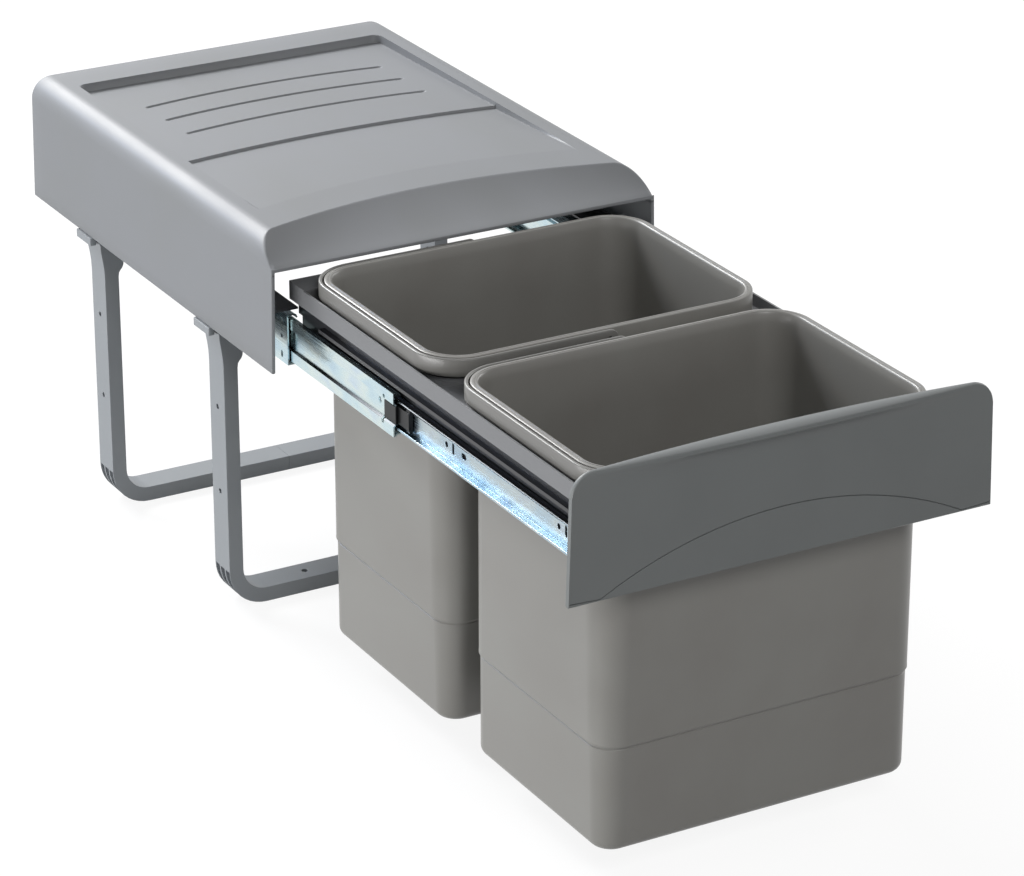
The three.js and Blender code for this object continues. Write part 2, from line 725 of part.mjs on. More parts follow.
/** The fine arched groove in the panel's lower half. */
function panelGroove() {
  const radius = (PANEL.arcHalfWidth ** 2 + PANEL.arcRise ** 2) / (2 * PANEL.arcRise);
  const centre = PANEL.foot + PANEL.arcRise - radius;
  const sweep = Math.asin((PANEL.arcHalfWidth - 1) / radius);
  const [from, to] = [Math.PI / 2 - sweep, Math.PI / 2 + sweep];
  const shape = new THREE.Shape();
  shape.absarc(0, centre, radius + 0.6, from, to);
  shape.absarc(0, centre, radius - 0.6, to, from, true);
  return alongY(shape, PANEL.face - 1, PANEL.face + 0.8, 9);
}

function frontPanel() {
  const { face, plate, ribHalfWidth, lugLength } = PANEL;
  const [ribFoot, ribTop, ribDepth] = PANEL.rib;
  const [middle, half] = [(ribTop + ribFoot) / 2, (ribTop - ribFoot) / 2];
  const rib = roundedRect(ribHalfWidth, half, 8, 0, middle);
  rib.holes.push(roundedHole(ribHalfWidth - 2.5, half - 2.5, 5.5, 0, middle));
  const body = join(
    alongY(panelOutline(), face, face + plate, 4),
    alongY(rib, face + 1, face + ribDepth, 4),
    panelLip(),
  );
  const lugs = [-1, 1].map((side) => {
    const xs = [side * (FRAME.channelWall + 0.5), side * (FRAME.halfWidth - 1)].sort((a, b) => a - b);
    return box(xs, [face + 1, face + plate + lugLength], [FRAME.flange[1] + 0.5, FRAME.fasciaFoot - 0.5]);
  });
  return join(cut(body, panelGroove()), ...lugs);
}

// ---- bins and handles ---------------------------------------------------------------------------

/** Outline of a bin's body at a height, drawn in by an inset. */
function bodyRing(z, inset, extra = 0) {
  const depth = (BIN.rimTop - z) / (BIN.rimTop - BIN.floor);
  const away = BIN.draft * depth + inset + extra;
  const radius = between(BIN.bodyRadius, BIN.footRadius, depth) - inset - extra;
  return ringAt(z, BIN.bodyHalfWidth - away, BIN.bodyHalfDepth - away, radius);
}

/** One bin about x = 0, y = 0: tapered body with a step low down, rolled rim and two handle pins. */
function bin() {
  const { floor, rimTop, rimFoot, step, stepHeight, wall } = BIN;
  const fillet = [[0, 7], [2, 3.2], [4.2, 1.1], [7.5, 0]];
  const body = loft([
    ...fillet.map(([rise, inset]) => bodyRing(floor + rise, inset, step)),
    bodyRing(stepHeight, 0, step),
    bodyRing(stepHeight + 1.2, 0),
    bodyRing(rimTop, 0),
  ]);
  const base = floor + wall;
  const cavity = loft([
    ...fillet.map(([rise, inset]) => bodyRing(base + rise, inset + wall, step)),
    bodyRing(stepHeight, wall, step),
    bodyRing(stepHeight + 1.2, wall),
    bodyRing(rimTop + 1, wall),
  ]);
  const skirt = alongZ(roundedRect(BIN.rimHalfWidth, BIN.rimHalfDepth, BIN.rimRadius), rimFoot, rimTop);
  const skirtInside = alongZ(
    roundedRect(BIN.rimHalfWidth - 2, BIN.rimHalfDepth - 2, BIN.rimRadius - 2), rimFoot - 1, rimTop - 2.4);
  const pinZ = (HANDLE.foot + HANDLE.top) / 2;
  const pins = [-1, 1].map((side) => {
    const from = side * (BIN.rimHalfDepth - 1);
    const to = side * (BIN.rimHalfDepth + HANDLE.gap + HANDLE.thickness);
    return rod(HANDLE.pinRadius, [0, from, pinZ], [0, to, pinZ], 16);
  });
  return cut(join(body, cut(skirt, skirtInside), ...pins), cavity);
}

/** Half sizes and corner radius of the rim's outline, grown all round. */
const rimReach = (grow) => [BIN.rimHalfWidth, BIN.rimHalfDepth, BIN.rimRadius].map((v) => v + grow);

/** Bail handle about x = 0, y = 0, folded down round the left half of the rim. */
function bailHandle() {
  const { gap, thickness, foot, top, eyeRadius, pinRadius } = HANDLE;
  const band = cut(
    alongZ(roundedRect(...rimReach(gap + thickness)), foot, top),
    alongZ(roundedRect(...rimReach(gap)), foot - 1, top + 1),
    box([0, 200], [-200, 200], [foot - 1, top + 1]),
  );
  const pinZ = (foot + top) / 2;
  const near = BIN.rimHalfDepth + gap;
  const far = near + thickness;
  const eyes = [-1, 1].map((side) => rod(eyeRadius, [0, side * near, pinZ], [0, side * far, pinZ], 20));
  const bores = [-1, 1].map((side) =>
    rod(pinRadius + GAP, [0, side * (near - 1), pinZ], [0, side * (far + 1), pinZ], 16));
  return cut(join(band, ...eyes), ...bores);
}

// ---- the assembly -------------------------------------------------------------------------------

/** A mesh of the given name; its geometry is given as a solid or as a geometry. */
function piece(name, shape, material) {
  const geometry = shape instanceof THREE.BufferGeometry ? shape : geometryOf(shape);
  const mesh = new THREE.Mesh(toCreasedNormals(geometry, 0.5), material);
  mesh.name = name;
  return mesh;
}

/** A left piece and its mirror image, as name_left and name_right. */
function pair(name, shape, material) {
  const geometry = geometryOf(shape);
  return [piece(`${name}_left`, geometry, material), piece(`${name}_right`, mirrored(geometry), material)];
}

function groupOf(name, meshes) {
  const group = new THREE.Group();
  group.name = name;
  group.add(...meshes);
  return group;
}

function cabinetSide() {
  const brackets = BRACKET.rows.flatMap((front, i) => {
    const name = ["bracket_front", "bracket_rear"][i];
    return [
      piece(`${name}_left`, bracketHalf(front, true), BRACKET_PLASTIC),
      piece(`${name}_right`, mirrored(geometryOf(bracketHalf(front, false))), BRACKET_PLASTIC),
    ];
  });
  const screws = screwRows().flatMap((y, i) =>
    pair(["screw_front", "screw_rear"][i], cabinetScrew(y), ZINC));
  return groupOf("cabinet_side", [
    piece("hood", hood(), HOOD_ABS),
    ...brackets,
    ...pair("rail_cap", railCap(), BLACK_STEEL),
    ...pair("slide_cabinet", cabinetMember(), ZINC),
    ...pair("slide_buffer", slideBuffer(), BLACK_PLASTIC),
    ...screws,
  ]);
}

function telescope() {
  return groupOf("telescope", [
    ...pair("slide_middle", middleMember(), ZINC),
    ...pair("slide_guide", slideGuide(), BLACK_PLASTIC),
    ...pair("ball_cage_outer", outerCage(), BALL_STEEL),
    ...pair("ball_cage_inner", innerCage(), BALL_STEEL),
  ]);
}

function bins() {
  return BIN.centres.map((y, i) => {
    const place = ["front", "rear"][i];
    const group = groupOf(`bin_${place}_set`, [
      piece(`bin_${place}`, bin(), BIN_PLASTIC),
      piece(`bin_handle_${place}`, bailHandle(), BIN_PLASTIC),
    ]);
    group.position.y = y;
    return group;
  });
}

function drawer() {
  const screws = DRAWER_SCREWS.flatMap((y, i) =>
    pair(["drawer_screw_front", "drawer_screw_rear"][i], drawerScrew(y), ZINC));
  const group = groupOf("drawer", [
    piece("drawer_frame", drawerFrame(), FRAME_PLASTIC),
    piece("front_panel", frontPanel(), PANEL_PLASTIC),
    ...pair("slide_drawer", drawerMember(), ZINC),
    ...screws,
  ]);
  group.add(...bins());
  return group;
}

const sorter = new THREE.Group();
sorter.name = "pull_out_waste_sorter";
sorter.add(cabinetSide(), telescope(), drawer());

export default sorter;
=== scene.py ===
"""Pull-out waste sorter for a kitchen base cabinet, dressed and lit as in its catalogue photograph.

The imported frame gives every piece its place. The classes below finish its sub-assemblies: the
moulded hood, the U brackets, the telescopic slides, the drawer frame with its front panel, and the
two bins with their bail handles. Sizes are in millimetres and become metres where a mesh is made.
"""

import logging
from collections.abc import Iterable, Sequence
from dataclasses import dataclass, field
from enum import Enum
from math import asin, atan2, cos, pi, radians, sin, sqrt

import bmesh
import bpy
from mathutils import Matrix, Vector


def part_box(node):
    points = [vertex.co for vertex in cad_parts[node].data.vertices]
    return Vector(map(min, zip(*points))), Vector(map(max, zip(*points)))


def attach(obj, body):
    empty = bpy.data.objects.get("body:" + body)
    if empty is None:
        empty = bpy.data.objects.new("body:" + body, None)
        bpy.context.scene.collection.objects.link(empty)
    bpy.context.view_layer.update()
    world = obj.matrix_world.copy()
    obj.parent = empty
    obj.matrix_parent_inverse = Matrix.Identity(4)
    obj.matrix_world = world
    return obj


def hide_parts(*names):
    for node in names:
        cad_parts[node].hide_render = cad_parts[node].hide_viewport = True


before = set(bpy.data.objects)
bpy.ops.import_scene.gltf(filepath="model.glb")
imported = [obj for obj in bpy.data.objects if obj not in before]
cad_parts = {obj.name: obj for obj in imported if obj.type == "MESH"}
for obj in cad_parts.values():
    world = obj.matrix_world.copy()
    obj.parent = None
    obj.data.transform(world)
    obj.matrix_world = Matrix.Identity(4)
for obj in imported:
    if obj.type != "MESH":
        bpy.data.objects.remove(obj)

log = logging.getLogger("waste_sorter")

MM = 0.001
SIDES = ("left", "right")
BIN_CENTRES = {"front": -328.0, "rear": -104.25}  # y of each bin's middle
NODE_MERGE = 0.002  # points of a plain node closer than this are one
Point = tuple[float, float, float]
Object = bpy.types.Object
Tree = bpy.types.NodeTree


# ---- small tools ----


def between(low: float, high: float, share: float) -> float:
    """The value that lies this share of the way from low to high."""
    return low + (high - low) * share


def bowed(x: float, half_width: float, rise: float) -> float:
    """Height of a shallow bow of the given rise over a span of twice half_width."""
    return rise * (1 - (x / half_width) ** 2)


def smooth(share: float) -> float:
    """An S-curve from 0 to 1, flat at both ends."""
    t = min(max(share, 0.0), 1.0)
    return t * t * (3 - 2 * t)


def linear(code: str) -> tuple[float, float, float, float]:
    """Turns an sRGB hex colour into Blender's linear colour.

    Args:
        code: six hex digits, such as "9aa0a8".

    Returns:
        Red, green, blue and alpha.
    """
    parts = [int(code[i : i + 2], 16) / 255 for i in (0, 2, 4)]
    r, g, b = (c / 12.92 if c <= 0.04045 else ((c + 0.055) / 1.055) ** 2.4 for c in parts)
    return r, g, b, 1.0


def add_node(tree: Tree, kind: str, settings: dict | None = None,
             links: dict | None = None) -> bpy.types.Node:
    """Adds one node to a tree.

    Args:
        tree: the material, world or geometry tree.
        kind: the node's type, such as "ShaderNodeBump".
        settings: values by property name, or by input name or number.
        links: output sockets by the name or number of the input that they feed.

    Returns:
        The new node.
    """
    node = tree.nodes.new(kind)
    for key, value in (settings or {}).items():
        if isinstance(key, str) and hasattr(node, key):
            setattr(node, key, value)
        else:
            node.inputs[key].default_value = value
    for key, socket in (links or {}).items():
        tree.links.new(socket, node.inputs[key])
    return node


def empty_tree(owner: bpy.types.Material | bpy.types.World) -> Tree:
    """Switches on a material's or a world's nodes and clears them.

    Args:
        owner: the material or the world.

    Returns:
        Its empty node tree.
    """
    owner.use_nodes = True
    owner.node_tree.nodes.clear()
    return owner.node_tree


def set_ramp(node: bpy.types.Node, stops: Sequence[tuple[float, str]]) -> None:
    """Gives a colour ramp its stops, each a place and an sRGB hex colour.

    Args:
        node: the colour ramp node.
        stops: the stops in rising order.
    """
    elements = node.color_ramp.elements
    while len(elements) < len(stops):
        elements.new(0.5)
    for element, (place, code) in zip(elements, stops):
        element.position = place
        element.color = linear(code)


def mesh_object(name: str, points: Iterable[Point], faces: Iterable[Sequence[int]]) -> Object:
    """Makes a mesh object at the origin from points in millimetres.

    Args:
        name: the object's name.
        points: corner points in millimetres.
        faces: corner numbers of each face.

    Returns:
        The linked object, with doubles merged and its faces pointing out.
    """
    mesh = bpy.data.meshes.new(name)
    mesh.from_pydata([Vector(p) * MM for p in points], [], list(faces))
    made = bpy.data.objects.new(name, mesh)
    bpy.context.scene.collection.objects.link(made)
    tidy_mesh(mesh)
    return made


def tidy_mesh(mesh: bpy.types.Mesh, merge_mm: float = 0.004) -> None:
    """Merges doubles, drops collapsed faces and turns all faces outwards.

    Args:
        mesh: the mesh to clean.
        merge_mm: points closer than this are one, in millimetres.
    """
    work = bmesh.new()
    work.from_mesh(mesh)
    bmesh.ops.remove_doubles(work, verts=work.verts, dist=merge_mm * MM)
    bmesh.ops.dissolve_degenerate(work, dist=merge_mm * MM, edges=work.edges)
    bmesh.ops.recalc_face_normals(work, faces=work.faces)
    work.to_mesh(mesh)
    work.free()


def shade(made: Object, crease_degrees: float = 32) -> None:
    """Smooth shading, except over edges sharper than the given angle."""
    made.data.shade_smooth()
    made.data.set_sharp_from_angle(angle=radians(crease_degrees))


def grid_faces(rows: int, columns: int, closed: bool = False) -> list[tuple[int, int, int, int]]:
    """Quads of a grid whose points are stored row by row, with columns joined round if closed.

    Args:
        rows: how many rows of points there are.
        columns: how many points each row has.
        closed: whether each row's last point joins its first.

    Returns:
        Corner numbers of each quad.
    """
    last = columns if closed else columns - 1
    return [
        (r * columns + c, r * columns + (c + 1) % columns,
         (r + 1) * columns + (c + 1) % columns, (r + 1) * columns + c)
        for r in range(rows - 1)
        for c in range(last)
    ]


def loft(name: str, rings: Sequence[Sequence[Point]]) -> Object:
    """A closed mesh through rings of equally many points, with a flat face at each end.

    Args:
        name: the object's name.
        rings: the rings in order, in millimetres.

    Returns:
        The linked object.
    """
    count = len(rings[0])
    faces: list[Sequence[int]] = list(grid_faces(len(rings), count, closed=True))
    faces.append(tuple(range(count)))
    faces.append(tuple(range((len(rings) - 1) * count, len(rings) * count)))
    return mesh_object(name, [p for ring in rings for p in ring], faces)


def rounded_ring(half_x: float, half_y: float, radius: float, z: float,
                 centre_y: float = 0.0, steps: int = 14) -> list[Point]:
    """A horizontal rectangle with round corners, as points in millimetres.

    Args:
        half_x: half its width.
        half_y: half its depth.
        radius: its corners' radius.
        z: its height.
        centre_y: the y of its middle.
        steps: steps in each corner.

    Returns:
        Its points, anticlockwise from above.
    """
    points: list[Point] = []
    for sign_x, sign_y, start in ((1, -1, -0.5), (1, 1, 0.0), (-1, 1, 0.5), (-1, -1, 1.0)):
        cx, cy = sign_x * (half_x - radius), sign_y * (half_y - radius)
        for i in range(steps + 1):
            angle = pi * (start + i / steps / 2)
            points.append((cx + radius * cos(angle), centre_y + cy + radius * sin(angle), z))
    return points


def joined(name: str, parts: Sequence[Object]) -> Object:
    """Joins mesh objects at the origin into the first one, keeping their materials.

    Args:
        name: the joined object's name.
        parts: the objects, of which the first one stays.

    Returns:
        The joined object.
    """
    with bpy.context.temp_override(active_object=parts[0], selected_editable_objects=list(parts)):
        bpy.ops.object.join()
    parts[0].name = name
    parts[0].data.name = name
    return parts[0]


def apply_modifiers(made: Object) -> Object:
    """Replaces an object's mesh by what its modifiers make of it, and removes them.

    Args:
        made: the object with live modifiers.

    Returns:
        The same object with a plain mesh.
    """
    graph = bpy.context.evaluated_depsgraph_get()
    result = bpy.data.meshes.new_from_object(made.evaluated_get(graph))
    made.modifiers.clear()
    made.data = result
    return made


def cylinder(name: str, radius: float, start: Point, end: Point, sides: int = 32,
             round_mm: float = 0.4) -> Object:
    """A round bar between two points in millimetres, with its edges rounded.

    Args:
        name: the object's name.
        radius: its radius.
        start: the middle of one end.
        end: the middle of the other end.
        sides: sides round the bar.
        round_mm: width of the rounding at its ends.

    Returns:
        The linked object.
    """
    a, b = Vector(start), Vector(end)
    along = (b - a).normalized()
    across = along.orthogonal().normalized()
    other = along.cross(across)
    length = (b - a).length
    slim, soft = radius - round_mm, radius - round_mm * 0.3
    stations = [(0, slim), (round_mm * 0.3, soft), (round_mm, radius),
                (length - round_mm, radius), (length - round_mm * 0.3, soft), (length, slim)]
    turns = [2 * pi * i / sides for i in range(sides)]
    rings = [[tuple(a + along * place + (across * cos(t) + other * sin(t)) * r) for t in turns]
             for place, r in stations]
    return loft(name, rings)


# ---- finishes ----


@dataclass(frozen=True)
class MouldedPlastic:
    """An injection-moulded plastic with the fine spark-eroded grain of its tool.

    Attributes:
        name: the finish's name in a maker's words.
        colour: sRGB hex colour of the resin.
        shade_colour: sRGB hex colour of the slightly darker flow marks.
        roughness: roughness of the face between grains.
        grain_mm: spacing of the grain as it is drawn.
        grain_depth: strength of the grain's bump.
        metallic: share of metal pigment in the resin.
        specular: the shader's specular level.
        coat: weight of a thin clear skin over the resin.
    """

    name: str
    colour: str
    shade_colour: str
    roughness: float = 0.5
    grain_mm: float = 0.9
    grain_depth: float = 0.08
    metallic: float = 0.0
    specular: float = 0.5
    coat: float = 0.0

    def build(self) -> bpy.types.Material:
        """Makes the material: colour with faint flow marks, uneven gloss and a grain bump.

        Returns:
            The new material.
        """
        material = bpy.data.materials.new(self.name)
        tree = empty_tree(material)
        place = add_node(tree, "ShaderNodeTexCoord").outputs["Object"]
        # flow marks: clouds about 60 mm across, stretched along the melt's path
        stretch = add_node(tree, "ShaderNodeMapping", {"Scale": (1.0, 0.45, 0.8)},
                           {"Vector": place})
        flow = add_node(tree, "ShaderNodeTexNoise", {"Scale": 1 / (60 * MM), "Detail": 3.0},
                        {"Vector": stretch.outputs[0]})
        tint = add_node(tree, "ShaderNodeValToRGB", links={"Fac": flow.outputs["Fac"]})
        set_ramp(tint, ((0.32, self.shade_colour), (0.62, self.colour)))
        # the tool's grain is finer than a pixel, so it is drawn as coarse as still reads
        grain = add_node(tree, "ShaderNodeTexNoise",
                         {"Scale": 1 / (self.grain_mm * MM), "Detail": 2.0}, {"Vector": place})
        bump = add_node(tree, "ShaderNodeBump",
                        {"Strength": self.grain_depth, "Distance": 0.2 * MM},
                        {"Height": grain.outputs["Fac"]})
        gloss = add_node(tree, "ShaderNodeMapRange",
                         {"From Min": 0.3, "From Max": 0.7, "To Min": self.roughness - 0.04,
                          "To Max": self.roughness + 0.05}, {"Value": flow.outputs["Fac"]})
        shader = add_node(tree, "ShaderNodeBsdfPrincipled",
                          {"Metallic": self.metallic, "Specular IOR Level": self.specular,
                           "Coat Weight": self.coat, "Coat Roughness": 0.2},
                          {"Base Color": tint.outputs["Color"],
                           "Roughness": gloss.outputs["Result"],
                           "Normal": bump.outputs["Normal"]})
        add_node(tree, "ShaderNodeOutputMaterial", links={"Surface": shader.outputs[0]})
        return material


@dataclass(frozen=True)
class PlatedSteel:
    """Cold-rolled steel strip, bright zinc plated, with the plating's faint rainbow.

    Attributes:
        name: the finish's name in a maker's words.
        stops: sRGB hex colours of the plating, from thin to thick.
        roughness: roughness along the rolling direction.
    """

    name: str
    stops: tuple[str, ...]
    roughness: float = 0.2

    def build(self) -> bpy.types.Material:
        """Makes the material: iridescent clouds, rolling lines along Y, and scuffs.

        Returns:
            The new material.
        """
        material = bpy.data.materials.new(self.name)
        tree = empty_tree(material)
        place = add_node(tree, "ShaderNodeTexCoord").outputs["Object"]
        # plating colour drifts over 35 mm along the strip and faster across it
        drift = add_node(tree, "ShaderNodeMapping", {"Scale": (2.5, 1.0, 2.0)}, {"Vector": place})
        cloud = add_node(tree, "ShaderNodeTexNoise", {"Scale": 1 / (35 * MM), "Detail": 2.5},
                         {"Vector": drift.outputs[0]})
        tint = add_node(tree, "ShaderNodeValToRGB", links={"Fac": cloud.outputs["Fac"]})
        span = len(self.stops) - 1
        set_ramp(tint, [(0.3 + 0.4 * i / span, code) for i, code in enumerate(self.stops)])
        # rolling lines, 0.6 mm apart and 60 mm long
        lines = add_node(tree, "ShaderNodeMapping", {"Scale": (1.0, 0.01, 1.0)}, {"Vector": place})
        streak = add_node(tree, "ShaderNodeTexNoise", {"Scale": 1 / (0.6 * MM), "Detail": 2.0},
                          {"Vector": lines.outputs[0]})
        wear_and_shade = add_node(tree, "ShaderNodeMapRange",
                        {"From Min": 0.3, "From Max": 0.75, "To Min": self.roughness - 0.05,
                         "To Max": self.roughness + 0.14}, {"Value": streak.outputs["Fac"]})
        bump = add_node(tree, "ShaderNodeBump", {"Strength": 0.02, "Distance": 0.1 * MM},
                        {"Height": streak.outputs["Fac"]})
        shader = add_node(tree, "ShaderNodeBsdfPrincipled", {"Metallic": 1.0},
                          {"Base Color": tint.outputs["Color"], "Roughness": wear_and_shade.outputs["Result"],
                           "Normal": bump.outputs["Normal"]})
        add_node(tree, "ShaderNodeOutputMaterial", links={"Surface": shader.outputs[0]})
        return material


class Finish(Enum):
    """Every finish on the sorter."""

    # silver-grey ABS with aluminium flake: a soft sheen with cool highlights
    SILVER_ABS = MouldedPlastic("silver_grey_flake_abs", "787a7d", "757779", roughness=0.55,
                                grain_depth=0.05, specular=0.35, metallic=0.1, coat=0.04)
    # glass-filled polyamide: even mid grey, slightly satin
    BRACKET_POLYAMIDE = MouldedPlastic("grey_glass_filled_polyamide", "808487", "7c8084",
                                       roughness=0.45)
    # moulded ABS of the drawer front, darker than the hood and finely grained
    PANEL_ABS = MouldedPlastic("slate_grey_abs", "6b6e6e", "686b6b", roughness=0.42,
                               grain_depth=0.1, specular=0.3)
    # filled polypropylene of the frame
    FRAME_PP = MouldedPlastic("dark_grey_polypropylene", "6b6c6e", "67686a", roughness=0.4)
    # polypropylene of the bins: warm grey with a waxy sheen
    BIN_PP = MouldedPlastic("warm_grey_polypropylene", "7a7975", "767470", roughness=0.34)
    # the same for the bail handles, a touch darker as painted shade for the dimmer light on the
    # rims
    HANDLE_PP = MouldedPlastic("handle_grey_polypropylene", "696865", "666562", roughness=0.36)
    # acetal of the slide guides and buffers
    BLACK_ACETAL = MouldedPlastic("black_acetal", "18191b", "131415", roughness=0.35, specular=0.25)
    # stoved black coating on the steel rail caps, also black painted shade on the frame's side
    # channels
    BLACK_COATING_AND_SHADE = MouldedPlastic("black_stoved_steel_and_painted_shade", "232427", "1d1e20", roughness=0.3,
                                   grain_mm=1.4)
    # bright zinc on rolled strip: pale blue, straw and rose clouds
    ZINC = PlatedSteel("bright_zinc_plated_steel", ("b3c9d6", "c0d5dc", "cfdcda", "c3d3dd"))
    # the drawer member's zinc is bluer and thinner
    BLUE_ZINC = PlatedSteel("blue_passivated_zinc", ("97abb9", "a5b6c0", "b3bdbf", "a7b3c1"),
                            roughness=0.26)
    # painted shade: a darker blue line in the groove along its lower flange
    GROOVE_SHADE_STEEL = PlatedSteel("painted_shade_groove_steel", ("4f6676", "7d929f", "5b7180"))
    # painted dark reflection in its upper raceway, and painted shadow on the middle member's fold
    PAINTED_SHADE_STEEL = PlatedSteel("painted_shade_raceway_steel", ("26292b", "34373a", "2d2f31"), roughness=0.25)
    # hard chrome steel of the balls and their cages
    BALL_STEEL = PlatedSteel("bearing_steel", ("d4d8da", "e4e6e7"), roughness=0.12)

    def material(self) -> bpy.types.Material:
        """The finish's material, made on its first use."""
        return bpy.data.materials.get(self.value.name) or self.value.build()


def dress(made: Object, finish: Finish) -> None:
    """Gives an object one finish."""
    made.data.materials.clear()
    made.data.materials.append(finish.material())


def place_piece(made: Object, body: str, slot: str, *nodes: str) -> None:
    """Lets a finished piece ride on its body in the stead of its plain nodes.

    Args:
        made: the finished piece.
        body: the body that carries it.
        slot: the name of the piece's material slot; not used.
        nodes: the nodes that it stands for.
    """
    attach(made, body)
    if nodes:
        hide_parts(*nodes)
    log.info("%s rides on %s: %d faces", made.name, body, len(made.data.polygons))


def refined(node: str, name: str, round_mm: float, crease_degrees: float = 30) -> Object:
    """A copy of a plain node with merged facets and rounded edges.

    Args:
        node: the frame's node.
        name: the new piece's name.
        round_mm: width of the rounding in millimetres.
        crease_degrees: edges sharper than this are rounded.

    Returns:
        The new object, with a live bevel.
    """
    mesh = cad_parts[node].data.copy()
    mesh.name = name
    work = bmesh.new()
    work.from_mesh(mesh)
    bmesh.ops.remove_doubles(work, verts=work.verts, dist=NODE_MERGE * MM)
    bmesh.ops.dissolve_degenerate(work, dist=NODE_MERGE * MM, edges=work.edges)
    bmesh.ops.dissolve_limit(work, angle_limit=radians(1.0), verts=work.verts, edges=work.edges)
    work.to_mesh(mesh)
    work.free()
    made = bpy.data.objects.new(name, mesh)
    bpy.context.scene.collection.objects.link(made)
    mesh.shade_smooth()
    bevel = made.modifiers.new("edge_rounding", "BEVEL")
    bevel.width = round_mm * MM
    bevel.segments = 2
    bevel.limit_method = "ANGLE"
    bevel.angle_limit = radians(crease_degrees)
    weighted = made.modifiers.new("even_normals", "WEIGHTED_NORMAL")
    weighted.keep_sharp = True
    weighted.weight = 100
    return made


def place_refined(node: str, kind: str, round_mm: float, finish: Finish,
                  body: str, slot: str) -> None:
    """Refines a node in one finish and places it, named by the node and its kind.

    Args:
        node: the frame's node.
        kind: the word that follows the node's name in the piece's.
        round_mm: width of the rounding in millimetres.
        finish: the piece's finish.
        body: the body that carries it.
        slot: the name of the piece's material slot.
    """
    made = refined(node, f"{node}_{kind}", round_mm)
    dress(made, finish)
    place_piece(made, body, slot, node)


# ---- the hood ----


